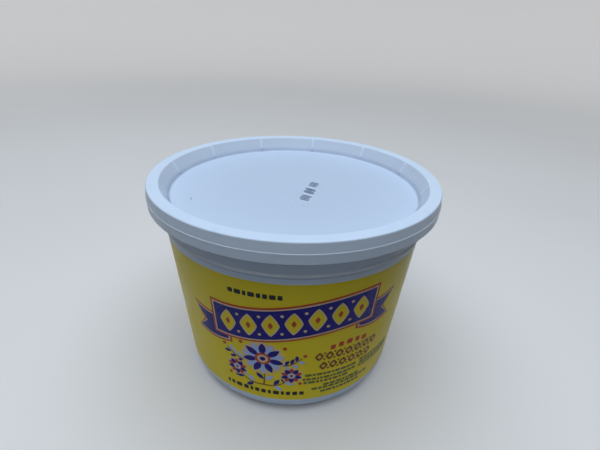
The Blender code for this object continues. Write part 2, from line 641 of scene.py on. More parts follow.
@dataclass(frozen=True)
class LidPlastic(MouldedPlastic):
    """The lid's plastic, which the contents darken a little where the thin panel lies close over them.

    Attributes:
        panel_radius: Radius of the panel's edge.
        rim_radius: Radius of the inner wall's upper edge.
        skirt_radius: Radius beyond which the skirt starts.
        ribs: Number of ribs, azimuth of the first in degrees, and width of a crest.
        panel: Colour of the panel's edge.
        panel_middle: Colour at the panel's middle.
        middle_share: Share of the panel's radius up to which it has its middle's colour.
        panel_fade: Where the panel's colour fades out, from the panel's edge outwards.
        inner_wall_shade: Colour of the inner wall, darker as painted shade.
        rim_fade: Where the inner wall's colour fades out, from its upper edge outwards.
        painted_shade: Colour of the painted shade at the foot of the inner wall.
        shade_rise: Where the painted shade begins, from the panel's edge outwards.
        shade_fall: Where it ends.
        shade_patches: Pattern of the painted shade.
        painted_highlight: Colour of the painted highlight on the ribs' crests.
        rib_rise: Where the crests begin, from the panel's edge outwards.
        crest_softness: Width over which a crest fades, as a share of half its width.
        skirt: Colour of the skirt.
        skirt_fade: Width over which the rim's colour changes to the skirt's.
    """

    panel_radius: float = 0.0
    rim_radius: float = 0.0
    skirt_radius: float = 0.0
    ribs: tuple[int, float, float] = (1, 0.0, 0.0)
    panel: Colour = (0.635, 0.72, 0.825)
    panel_middle: Colour = (0.60, 0.685, 0.79)
    middle_share: float = 0.4
    panel_fade: Pair = (-1.0 * MILLIMETRE, 3.0 * MILLIMETRE)
    # The inner wall's colour is darker as painted shade
    inner_wall_shade: Colour = (0.71, 0.76, 0.84)
    rim_fade: Pair = (-0.6 * MILLIMETRE, 0.4 * MILLIMETRE)
    # Painted shade at the foot of the inner wall
    painted_shade: Colour = (0.44, 0.49, 0.60)
    shade_rise: Pair = (-1.2 * MILLIMETRE, -0.2 * MILLIMETRE)
    shade_fall: Pair = (0.2 * MILLIMETRE, 1.6 * MILLIMETRE)
    shade_patches: Pattern = Pattern(60.0, 3.0, 0.2, 0.8, least=0.45, most=0.9)
    # Painted highlight on the ribs' crests
    painted_highlight: Colour = (0.79, 0.865, 0.955)
    rib_rise: Pair = (0.5 * MILLIMETRE, 1.2 * MILLIMETRE)
    crest_softness: float = 0.8
    skirt: Colour = (0.79, 0.86, 0.93)
    skirt_fade: float = 0.15 * MILLIMETRE

    def from_panel(self, span: Pair) -> Pair:
        """Radii of a span that is given from the panel's edge outwards."""
        return self.panel_radius + span[0], self.panel_radius + span[1]

    def on_rib(self, sheet: NodeSheet, radius: Socket) -> Socket:
        """Share of painted highlight on a crest: 1 within half a rib's width of the nearest rib's middle,
        above the panel.

        The azimuth, as a number of rib pitches from the first rib, is folded to its distance from the nearest
        whole number, and times the pitch that is the distance from the rib's middle.

        Args:
            sheet: The material's nodes.
            radius: Distance from the axis.

        Returns:
            The share.
        """
        count, phase, width = self.ribs
        turns = sheet.product(sheet.azimuth(), count / math.tau)
        from_first = sheet.combined("SUBTRACT", turns, math.radians(phase) * count / math.tau)
        folded = sheet.combined("PINGPONG", from_first, 0.5)
        away = sheet.product(folded, math.tau * self.panel_radius / count)
        crest = (width / 2, (1 + self.crest_softness) * width / 2)
        across = sheet.ramp(away, crest, 1.0, 0.0)
        return sheet.product(across, sheet.ramp(radius, self.from_panel(self.rib_rise)))

    def plain_colour(self, sheet: NodeSheet) -> Socket:
        """Colour of the plastic before it is scuffed: one for each part of the lid, told apart by the radius.

        Args:
            sheet: The material's nodes.

        Returns:
            The colour.
        """
        radius = sheet.radius()
        rim_edges = (self.rim_radius + self.rim_fade[0], self.rim_radius + self.rim_fade[1])
        in_rim = sheet.ramp(radius, rim_edges, 1.0, 0.0)
        # Painted shade over the inner wall
        rim = sheet.blend(in_rim, super().plain_colour(sheet), self.inner_wall_shade)
        outwards = sheet.ramp(radius, (self.middle_share * self.panel_radius, self.panel_radius))
        panel = sheet.blend(outwards, self.panel_middle, self.panel)
        clean = sheet.blend(sheet.ramp(radius, self.from_panel(self.panel_fade), 1.0, 0.0), rim, panel)
        # Painted shade at the foot of the inner wall, broken into patches
        in_corner = sheet.band(radius, self.from_panel(self.shade_rise), self.from_panel(self.shade_fall))
        corner_shade = sheet.product(in_corner, sheet.patches(self.shade_patches))
        # Painted highlight on the ribs' crests, laid over the painted shade
        painted_highlight = sheet.product(self.on_rib(sheet, radius), in_rim)
        worn_or_painted_light = sheet.blend(painted_highlight, sheet.blend(corner_shade, clean, self.painted_shade), self.painted_highlight)
        on_skirt = sheet.ramp(radius, (self.skirt_radius - self.skirt_fade, self.skirt_radius))
        return sheet.blend(on_skirt, worn_or_painted_light, self.skirt)


@dataclass(frozen=True)
class PrintedInk:
    """Ink printed on the wall: a little uneven in density, with a slight gloss and a few dull rubs.

    Attributes:
        colour: Linear colour of full ink.
        thin: Colour where the ink is thinner.
        polish: Pattern of the roughness.
        patches: Pattern of thinner patches.
        grain: Pattern of thinner grains.
        rubs: Pattern of the rubs.
        rub_roughness: Roughness that a rub adds.
        gloss: Strength of the shine.
        reliefs: Relief of the plastic that the ink follows.
    """

    colour: Colour
    thin: Colour
    polish: Pattern = Pattern(70.0, 4.0, 0.3, 0.7, least=0.26, most=0.38)
    patches: Pattern = Pattern(55.0, 3.0, 0.3, 0.75, most=0.5)
    grain: Pattern = Pattern(2600.0, 1.0, 0.5, 0.8, most=0.5)
    rubs: Pattern = Pattern(60.0, 4.0, 0.62, 0.75, most=0.12, squeeze=(1.0, 1.0, 3.0))
    gloss: float = 0.12
    reliefs: tuple[Relief, ...] = (
        Relief(30.0, 1.0, 0.10 * MILLIMETRE),
        Relief(1500.0, 2.0, 0.006 * MILLIMETRE),
    )

    def make(self, name: str) -> Material:
        """Make the material.

        Args:
            name: Name of the material.

        Returns:
            The material.
        """
        sheet = NodeSheet(name)
        thinness = sheet.combined("ADD", sheet.patches(self.patches), sheet.patches(self.grain))
        sheet.feed("Base Color", sheet.blend(thinness, self.colour, self.thin))
        sheet.feed("Roughness", sheet.combined("ADD", sheet.patches(self.polish), sheet.patches(self.rubs)))
        sheet.set("IOR", PLASTIC_IOR)
        sheet.set("Specular IOR Level", self.gloss)
        sheet.bump(self.reliefs)
        return sheet.material


@dataclass(frozen=True)
class SprayedInk:
    """Thin blue-black ink sprayed on the lid, denser in the middle of its spots.

    Attributes:
        colour: Linear colour of the dense spots.
        thin: Colour of the thin ones.
        density: Pattern of the thin spots.
        polish: Pattern of the roughness.
    """

    colour: Colour = (0.085, 0.105, 0.17)
    thin: Colour = (0.17, 0.21, 0.32)
    density: Pattern = Pattern(700.0, 2.0, 0.3, 0.7)
    polish: Pattern = Pattern(900.0, 1.0, 0.3, 0.7, least=0.5, most=0.65)

    def make(self) -> Material:
        """Make the material.

        Returns:
            The material.
        """
        sheet = NodeSheet("sprayed ink")
        sheet.feed("Base Color", sheet.blend(sheet.patches(self.density), self.colour, self.thin))
        sheet.feed("Roughness", sheet.patches(self.polish))
        return sheet.material


@dataclass(frozen=True)
class FloorPaint:
    """Plain pale matt paint.

    Attributes:
        name: Name of the material.
        colour: Its linear colour.
        worn_or_painted_light: Colour of its faintly darker patches.
        patches: Pattern of those patches.
        roughness: Its roughness.
        glow: Strength of the light that its far part gives off, which keeps it pale away from the lamp.
        glow_span: Distances at which the glow starts and is full.
    """

    name: str
    colour: Colour
    worn_or_painted_light: Colour
    patches: Pattern = Pattern(3.0, 3.0, 0.3, 0.7)
    roughness: float = 0.85
    glow: float = 0.0
    glow_span: Pair = (0.3, 2.2)

    def make(self) -> Material:
        """Make the material.

        Returns:
            The material.
        """
        sheet = NodeSheet(self.name)
        sheet.feed("Base Color", sheet.blend(sheet.patches(self.patches), self.colour, self.worn_or_painted_light))
        sheet.set("Roughness", self.roughness)
        sheet.set("Emission Color", (1.0, 1.0, 1.0))
        sheet.feed("Emission Strength", sheet.ramp(sheet.radius(), self.glow_span, 0.0, self.glow))
        return sheet.material


INKS = {
    Ink.YELLOW: PrintedInk(
        colour=(0.90, 0.66, 0.010),
        thin=(0.90, 0.69, 0.030),
        polish=Pattern(70.0, 4.0, 0.3, 0.7, least=0.28, most=0.42),
    ),
    Ink.NAVY: PrintedInk(colour=(0.006, 0.003, 0.19), thin=(0.012, 0.008, 0.23)),
    Ink.RED: PrintedInk(colour=(0.56, 0.065, 0.018), thin=(0.60, 0.10, 0.03)),
    Ink.CREAM: PrintedInk(colour=(0.80, 0.55, 0.30), thin=(0.82, 0.60, 0.35)),
    Ink.BROWN: PrintedInk(colour=(0.26, 0.085, 0.016), thin=(0.32, 0.12, 0.025)),
    Ink.BLACK: PrintedInk(colour=(0.012, 0.012, 0.012), thin=(0.03, 0.028, 0.02)),
    Ink.GREY_GREEN: PrintedInk(colour=(0.14, 0.145, 0.04), thin=(0.20, 0.20, 0.05)),
    Ink.PALE_BLUE: PrintedInk(colour=(0.48, 0.57, 0.80), thin=(0.54, 0.62, 0.83)),
}


# Making pieces


class Workshop:
    """Turns surfaces into named pieces that ride on the tub's body, and keeps one material for each ink."""

    def __init__(self) -> None:
        """Start with the inks mixed and no pieces."""
        self.inks = {ink: finish.make(ink.value) for ink, finish in INKS.items()}
        self.sprayed = SprayedInk().make()
        self.pieces: list[Object] = []

    def piece(self, name: str, surface: Surface, slot: str, materials: Iterable[Material]) -> Object:
        """Make a piece of a surface and set it on the tub's body.

        Args:
            name: Name of the piece.
            surface: Its surface.
            slot: Name of one of the record's material slots; not used.
            materials: Its materials in order.

        Returns:
            The piece.
        """
        made = bpy.data.objects.new(name, surface.mesh(name))
        bpy.context.scene.collection.objects.link(made)
        for material in materials:
            made.data.materials.append(material)
        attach(made, BODY)
        self.pieces.append(made)
        return made


# The moulded shells


@dataclass(frozen=True)
class LidShell:
    """The one-piece lid: recessed panel, sloping inner wall with stacking ribs, flat rim and stepped skirt.

    Attributes:
        top: Height of the rim's top.
        wall: Thickness of the plastic.
        rim_outer_radius: Outer edge of the rim's top.
        rim_outer_rounding: Rounding of that edge.
        rim_inner_radius: Inner edge of the rim's top.
        rim_inner_rounding: Rounding of that edge.
        panel_radius: Edge of the panel.
        panel_drop: Depth of the panel.
        panel_rounding: Rounding of the panel's edge.
        ledge_inner_radius: Skirt just above its ledge.
        ledge_inner_rounding: Rounding where the ledge starts.
        ledge_radius: Widest part of the skirt.
        ledge_rounding: Rounding there.
        ledge_drop: Depth of the ledge.
        ledge_fall: How far the ledge falls outwards.
        skirt_radius: Skirt at its lower edge.
        skirt_rounding: Rounding of that edge.
        skirt_drop: Depth of the lower edge.
        channel_rounding: Rounding at the top of the channel behind the skirt.
        rib_count: Stacking ribs round the inner wall.
        rib_phase: Azimuth of the first rib, in degrees.
        rib_width: Width of a rib.
        rib_height: How far a rib stands out.
        rib_edge: Width of a rib's sloping edges.
        rib_span: Depths of a rib's two ends.
        rib_columns: Columns of points across a rib.
        rib_step: Longest step between points down a rib.
        columns: Columns of points round the lid, apart from those at the ribs.
    """

    top: float
    wall: float = 1.2 * MILLIMETRE
    rim_outer_radius: float = 85.3 * MILLIMETRE
    rim_outer_rounding: float = 0.8 * MILLIMETRE
    rim_inner_radius: float = 78.7 * MILLIMETRE
    rim_inner_rounding: float = 0.6 * MILLIMETRE
    panel_radius: float = 74.0 * MILLIMETRE
    panel_drop: float = 8.8 * MILLIMETRE
    panel_rounding: float = 1.0 * MILLIMETRE
    ledge_inner_radius: float = 85.78 * MILLIMETRE
    ledge_inner_rounding: float = 0.12 * MILLIMETRE
    ledge_radius: float = 86.0 * MILLIMETRE
    ledge_rounding: float = 0.2 * MILLIMETRE
    ledge_drop: float = 5.75 * MILLIMETRE
    ledge_fall: float = 0.25 * MILLIMETRE
    skirt_radius: float = 85.6 * MILLIMETRE
    skirt_rounding: float = 0.4 * MILLIMETRE
    skirt_drop: float = 11.2 * MILLIMETRE
    channel_rounding: float = 0.6 * MILLIMETRE
    rib_count: int = 12
    rib_phase: float = 21.4
    rib_width: float = 1.1 * MILLIMETRE
    rib_height: float = 0.4 * MILLIMETRE
    rib_edge: float = 0.18 * MILLIMETRE
    rib_span: Pair = (1.2 * MILLIMETRE, 8.4 * MILLIMETRE)
    rib_columns: int = 9
    rib_step: float = 0.5 * MILLIMETRE
    columns: int = 288

    def inner_wall_radius(self, drop: float | Array, depth: float = 0.0) -> float | Array:
        """Radius of the straight sloping inner wall at a drop, or of the surface this far behind its face."""
        slope = (self.rim_inner_radius - self.panel_radius) / self.panel_drop
        return self.rim_inner_radius - slope * drop + depth * math.hypot(1.0, slope)

    def section(self) -> Array:
        """Points of the lid's section, from the panel's middle round the rim and the skirt to its underside.

        Returns:
            One row of radius and height for each point.
        """
        panel = self.top - self.panel_drop
        under_panel = panel - self.wall
        channel_top = self.top - self.wall
        channel_radius = self.skirt_radius - self.wall
        lower_edge = self.top - self.skirt_drop
        ledge = self.top - self.ledge_drop
        return Section(
            (
                Corner(0.0, panel),
                Corner(self.panel_radius, panel, self.panel_rounding),
                Corner(self.rim_inner_radius, self.top, self.rim_inner_rounding, self.rib_step),
                Corner(self.rim_outer_radius, self.top, self.rim_outer_rounding),
                Corner(self.ledge_inner_radius, ledge + self.ledge_fall, self.ledge_inner_rounding),
                Corner(self.ledge_radius, ledge, self.ledge_rounding),
                Corner(self.skirt_radius, lower_edge, self.skirt_rounding),
                Corner(channel_radius, lower_edge, self.skirt_rounding),
                Corner(channel_radius, channel_top, self.channel_rounding),
                Corner(self.inner_wall_radius(self.wall, self.wall), channel_top),
                Corner(self.inner_wall_radius(self.panel_drop + self.wall, self.wall), under_panel),
                Corner(0.0, under_panel),
            )
        ).points()

    def azimuths(self) -> Array:
        """Azimuths of the columns: even ones, and closer ones across each rib.

        Returns:
            The azimuths in radians, rising.
        """
        middles = math.radians(self.rib_phase) + turns_round(self.rib_count)
        across = np.linspace(-1.0, 1.0, self.rib_columns) * self.rib_width / self.panel_radius
        at_ribs = (middles[:, None] + across[None, :]).ravel() % math.tau
        return np.unique(np.round(np.concatenate([turns_round(self.columns), at_ribs]), decimals=6))

    def ribs(self, section: Array, azimuths: Array) -> Array:
        """How far the ribs move each point inwards.

        The height is full in a rib's middle, and falls evenly to nothing over its edges and its two ends.

        Args:
            section: Radius and height of the section's points.
            azimuths: Azimuths of the columns.

        Returns:
            The distances, a row for each section point.
        """
        pitch = math.tau / self.rib_count
        from_middle = (azimuths - math.radians(self.rib_phase) + pitch / 2) % pitch - pitch / 2
        to_side = self.rib_width / 2 + self.rib_edge - np.abs(from_middle) * self.panel_radius
        drop = self.top - section[:, 1]
        first, last = self.rib_span
        to_end = np.minimum(drop - first, last - drop)
        off_wall = np.abs(section[:, 0] - self.inner_wall_radius(drop))
        to_end[off_wall > self.wall / 2] = 0.0
        across = np.clip(to_side / self.rib_edge, 0.0, 1.0)
        along = np.clip(to_end / self.rib_edge, 0.0, 1.0)
        return self.rib_height * along[:, None] * across[None, :]

    def plastic(self) -> Material:
        """The lid's plastic, its colours placed by the lid's own sizes.

        Returns:
            The material.
        """
        return LidPlastic(
            name="lid plastic",
            colour=(0.75, 0.84, 0.94),
            mottled=(0.73, 0.825, 0.93),
            scuffed=(0.68, 0.78, 0.89),
            panel_radius=self.panel_radius,
            rim_radius=self.rim_inner_radius,
            skirt_radius=self.rim_outer_radius,
            ribs=(self.rib_count, self.rib_phase, self.rib_width),
        ).make()

    def build(self, shop: Workshop) -> None:
        """Build the lid and let it stand for the CAD lid.

        Args:
            shop: Where pieces are made.
        """
        section = self.section()
        azimuths = self.azimuths()
        surface = turned(section, azimuths, self.ribs(section, azimuths))
        lid = shop.piece("lid_shell", surface, WHITE_SLOT, [self.plastic()])
        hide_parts("lid")


@dataclass(frozen=True)
class TubShell:
    """The full tub: flange in the lid's channel, collar, printed tapered wall, rounded foot, recessed base.

    Attributes:
        lid: The lid that closes it.
        gap: Gap between the tub and the lid.
        flange_radius: Outer edge of the flange.
        flange_rounding: Rounding of the flange's corners.
        flange_drop: Depth of the flange's lower corner.
        flange_foot_drop: Depth where the flange meets the collar.
        collar_drop: Depth of the collar's lower edge, the shoulder.
        collar_step: Step in from the collar to the wall.
        bead: How far the bead along the collar's lower edge stands out.
        bead_height: Height of the bead; its upright face takes the lowest third.
        bead_top_rounding: Rounding where the bead leaves the collar.
        bead_rounding: Rounding of the face's edges.
        groove: Depth of the groove under the bead.
        groove_height: Height of the groove.
        groove_rounding: Rounding at the groove's bottom.
        groove_foot_rounding: Rounding where the groove meets the wall.
        wall_top_radius: Radius of the collar where it leaves the lid.
        wall_top_drop: Depth at which the collar has that radius.
        wall_base_radius: Radius of the wall carried on down to the base.
        foot_rounding: Rounding of the foot.
        foot_ring_radius: Inner edge of the ring that the tub stands on.
        base_recess: Depth of the recess in the base.
        base_rounding: Rounding of the recess's edge.
        print_span: Heights of the print's lower and upper edges.
        arc_steps: Steps in each rounding.
        columns: Columns of points round the tub.
    """

    lid: LidShell
    gap: float = 0.3 * MILLIMETRE
    flange_radius: float = 83.6 * MILLIMETRE
    flange_rounding: float = 0.6 * MILLIMETRE
    flange_drop: float = 5.0 * MILLIMETRE
    flange_foot_drop: float = 7.6 * MILLIMETRE
    collar_drop: float = 23.0 * MILLIMETRE
    collar_step: float = 0.6 * MILLIMETRE
    bead: float = 0.55 * MILLIMETRE
    bead_height: float = 2.0 * MILLIMETRE
    bead_top_rounding: float = 1.0 * MILLIMETRE
    bead_rounding: float = 0.3 * MILLIMETRE
    groove: float = 0.35 * MILLIMETRE
    groove_height: float = 0.8 * MILLIMETRE
    groove_rounding: float = 0.2 * MILLIMETRE
    groove_foot_rounding: float = 0.4 * MILLIMETRE
    wall_top_radius: float = 79.2 * MILLIMETRE
    wall_top_drop: float = 10.75 * MILLIMETRE
    wall_base_radius: float = 67.4 * MILLIMETRE
    foot_rounding: float = 13.0 * MILLIMETRE
    foot_ring_radius: float = 49.0 * MILLIMETRE
    base_recess: float = 1.0 * MILLIMETRE
    base_rounding: float = 0.6 * MILLIMETRE
    print_span: Pair = (12.6 * MILLIMETRE, 99.9 * MILLIMETRE)
    arc_steps: int = 12
    columns: int = 320

    def collar_radius(self, drop: float) -> float:
        """Radius of the collar at a drop, on the straight line from the base to its top."""
        share = (self.lid.top - drop) / (self.lid.top - self.wall_top_drop)
        return self.wall_base_radius + (self.wall_top_radius - self.wall_base_radius) * share

    def print_radius(self, height: float | Array) -> float | Array:
        """Radius of the printed wall, on the straight line from the base to the collar's step.

        Args:
            height: Height above the base.

        Returns:
            The radius.
        """
        step_height = self.lid.top - self.collar_drop - self.collar_step
        step_radius = self.collar_radius(self.collar_drop) - self.collar_step
        return self.wall_base_radius + (step_radius - self.wall_base_radius) * height / step_height

    def section(self) -> Array:
        """Points of the tub's section, from the contents' level top round the outside to the base's middle.

        Returns:
            One row of radius and height for each point.
        """
        lid = self.lid
        behind = lid.wall + self.gap
        top_drop = lid.panel_drop + behind
        shoulder = lid.top - self.collar_drop
        lower, upper = self.print_span
        bead_drop = self.collar_drop - self.bead_height
        bead_radius = self.collar_radius(self.collar_drop) + self.bead
        groove = shoulder - self.collar_step / 2
        groove_foot = groove - self.groove_height
        return Section(
            (
                Corner(0.0, lid.top - top_drop),
                Corner(lid.inner_wall_radius(top_drop, behind), lid.top - top_drop),
                Corner(lid.inner_wall_radius(behind, behind), lid.top - behind),
                Corner(self.flange_radius, lid.top - behind, self.flange_rounding),
                Corner(self.flange_radius, lid.top - self.flange_drop, self.flange_rounding),
                Corner(self.collar_radius(self.flange_foot_drop), lid.top - self.flange_foot_drop),
                Corner(self.collar_radius(bead_drop), lid.top - bead_drop, self.bead_top_rounding),
                Corner(bead_radius, shoulder + self.bead_height / 3, self.bead_rounding),
                Corner(bead_radius, shoulder, self.bead_rounding),
                Corner(self.print_radius(groove) - self.groove, groove, self.groove_rounding),
                Corner(self.print_radius(groove_foot), groove_foot, self.groove_foot_rounding),
                Corner(self.print_radius(upper), upper),
                Corner(self.print_radius(lower), lower),
                Corner(self.wall_base_radius, 0.0, self.foot_rounding),
                Corner(self.foot_ring_radius, 0.0),
                Corner(self.foot_ring_radius - self.base_recess, self.base_recess, self.base_rounding),
                Corner(0.0, self.base_recess),
            ),
            self.arc_steps,
        ).points()

    def plastic(self) -> Material:
        """The tub's plastic, its painted highlight and painted shade bands placed by the collar's lower edge.

        Returns:
            The material.
        """
        return TubPlastic(
            name="tub plastic",
            colour=(0.59, 0.66, 0.745),
            mottled=(0.575, 0.645, 0.73),
            scuffed=(0.53, 0.60, 0.685),
            shoulder=self.lid.top - self.collar_drop,
        ).make()

    def build(self, shop: Workshop) -> None:
        """Build the tub, with the yellow field on its wall, and let it stand for the CAD tub.

        Args:
            shop: Where pieces are made.
        """
        section = self.section()
        materials = [self.plastic(), shop.inks[Ink.YELLOW]]
        tub = shop.piece("tub_shell", turned(section, turns_round(self.columns)), Ink.YELLOW.value, materials)
        middles = (section[1:-2] + section[2:-1]) / 2
        lower, upper = self.print_span
        printed = (middles[:, 1] > lower) & (middles[:, 1] < upper) & (middles[:, 0] > self.foot_ring_radius)
        finish = np.zeros(len(tub.data.polygons), np.int32)
        finish[: len(middles) * self.columns] = np.repeat(printed, self.columns)
        tub.data.polygons.foreach_set("material_index", finish)
        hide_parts("tub")


# Sheets to draw on


class Sheet(ABC):
    """A flat sheet, measured in millimetres, that lies on the plastic and carries thin inked plates."""

    @abstractmethod
    def place(self, across: Array, up: Array, lift: float) -> Array:
        """Points on the plastic, in metres and raised by the lift, of distances across and up the sheet."""

    def spots(self, outlines: Array, centres: Array, layer: int, rings: int = 1) -> Surface:
        """Lay filled shapes on the plastic, each a thin plate.

        A point of a plate is its centre plus an even share of the way to the outline.

        Args:
            outlines: Points of each shape's outline about its own centre, or of one outline for them all.
            centres: Centre of each shape.
            layer: Number of the layer of ink.
            rings: Rings of points from the centre to the outline.

        Returns:
            The surface of all the shapes.
        """
        outlines = np.broadcast_to(outlines, (len(centres), *outlines.shape[-2:]))
        lift = FIRST_LAYER + layer * LAYER
        share = np.linspace(0.0, 1.0, rings + 1)[1:]
        flat = centres[:, None, None, :] + share[None, :, None, None] * outlines[:, None, :, :]
        front = self.place(flat[..., 0], flat[..., 1], lift)
        back = self.place(flat[:, -1:, :, 0], flat[:, -1:, :, 1], SUNK)
        plates = np.concatenate([front, back], axis=1).reshape(len(centres), -1, 3)
        front_pole = self.place(centres[:, None, 0], centres[:, None, 1], lift)
        back_pole = self.place(centres[:, None, 0], centres[:, None, 1], SUNK)
        points = np.concatenate([front_pole, plates, back_pole], axis=1).reshape(-1, 3)
        quads, triangles = round_faces(rings + 1, outlines.shape[1], len(centres))
        return Surface(points, quads, triangles)

    def strip(self, across: Array, up: Array, layer: int) -> Surface:
        """Lay a strip on the plastic as a thin plate.

        Args:
            across: Distance across of each point of a grid whose rows go up and whose columns go right.
            up: Distance up of each point.
            layer: Number of the layer of ink.

        Returns:
            The surface of the strip.
        """
        rows, columns = across.shape
        front = self.place(across, up, FIRST_LAYER + layer * LAYER).reshape(-1, 3)
        back = self.place(across, up, SUNK).reshape(-1, 3)
        return Surface(np.concatenate([front, back]), plate_faces(columns, rows), np.zeros((0, 3), int))


@dataclass(frozen=True)
class WallSheet(Sheet):
    """One side of the tub's printed wall; up is the height above the base.

    Attributes:
        tub: The tub.
        side: Which side of it.
    """

    tub: TubShell
    side: Side

    def place(self, across: Array, up: Array, lift: float) -> Array:
        """Lay points on the tapered wall.

        The azimuth is the side's own plus the distance across over the wall's radius at the print's middle,
        and the radius is the wall's at that height plus the lift.

        Args:
            across: Distance round the wall to the right of the side's middle.
            up: Height above the base.
            lift: Distance out from the wall, in metres.

        Returns:
            The points in metres.
        """
        height = up * MILLIMETRE
        radius = self.tub.print_radius(height) + lift
        middle_radius = self.tub.print_radius(sum(self.tub.print_span) / 2)
        azimuth = math.radians(self.side.value) + across * MILLIMETRE / middle_radius
        return np.stack([radius * np.cos(azimuth), radius * np.sin(azimuth), height], axis=-1)


@dataclass(frozen=True)
class PanelSheet(Sheet):
    """A sheet on the lid's level panel.

    Attributes:
        level: Height of the panel.
        middle: Place of the sheet's middle on the panel, in millimetres.
        turn: Direction of the sheet's across, in degrees from X.
    """

    level: float
    middle: Pair
    turn: float

    def place(self, across: Array, up: Array, lift: float) -> Array:
        """Lay points on the panel: the sheet is turned, then moved to its middle.

        Args:
            across: Distance along the sheet's direction.
            up: Distance to the left of that direction.
            lift: Height above the panel, in metres.

        Returns:
            The points in metres.
        """
        cosine, sine = math.cos(math.radians(self.turn)), math.sin(math.radians(self.turn))
        x = (self.middle[0] + across * cosine - up * sine) * MILLIMETRE
        y = (self.middle[1] + across * sine + up * cosine) * MILLIMETRE
        return np.stack([x, y, np.full_like(x, self.level + lift)], axis=-1)


# Outlines of flat shapes


def power_outline(half_width: float, half_height: float, power: float, points: int) -> Array:
    """Outline on which the shares of half width and half height, each to the power, add up to 1.

    Args:
        half_width: Half its width.
        half_height: Half its height.
        power: The power: 1 gives a lozenge, 2 an ellipse, and a high one a bar with rounded corners.
        points: Points round it.

    Returns:
        The outline's points.
    """
    turn = turns_round(points)
    cosine, sine = np.cos(turn), np.sin(turn)
    across = half_width * np.sign(cosine) * np.abs(cosine) ** (2 / power)
    up = half_height * np.sign(sine) * np.abs(sine) ** (2 / power)
    return np.stack([across, up], axis=-1)


def disc_outline(radius: float, points: int) -> Array:
    """Outline of a round spot."""
    return power_outline(radius, radius, ELLIPSE, points)


def petal_outline(half_length: float, half_width: float, points: int) -> Array:
    """Outline of a pointed petal that lies across: its width goes as the square of the turn's sine."""
    turn = turns_round(points)
    return np.stack([half_length * np.cos(turn), half_width * np.sin(turn) * np.abs(np.sin(turn))], axis=-1)


def scallop_outline(radius: float, depth: float, lobes: int, points: int) -> Array:
    """Outline of a scalloped disc: its radius gains the depth times the sine of half the lobes' turn.

    Args:
        radius: Radius between the lobes.
        depth: How far the lobes stand out.
        lobes: Number of lobes.
        points: Points round it.

    Returns:
        The outline's points.
    """
    turn = turns_round(points)
    reach = radius + depth * np.abs(np.sin(turn * lobes / 2))
    return np.stack([reach * np.cos(turn), reach * np.sin(turn)], axis=-1)


def copies_turned(outline: Array, turns: Array) -> Array:
    """Copies of an outline, each turned about its centre.

    Args:
        outline: Points of one outline.
        turns: Angle of each copy, in radians.

    Returns:
        The outlines: copies, points, 2.
    """
    cosine, sine = np.cos(turns)[:, None], np.sin(turns)[:, None]
    across = outline[:, 0] * cosine - outline[:, 1] * sine
    up = outline[:, 0] * sine + outline[:, 1] * cosine
    return np.stack([across, up], axis=-1)


# Figures of the print


class Figure(ABC):
    """A figure of the print, drawn on a sheet in one or more inks."""

    @abstractmethod
    def draw(self, sheet: Sheet) -> list[tuple[Ink, Surface]]:
        """The figure's surfaces on a sheet, each with its ink."""


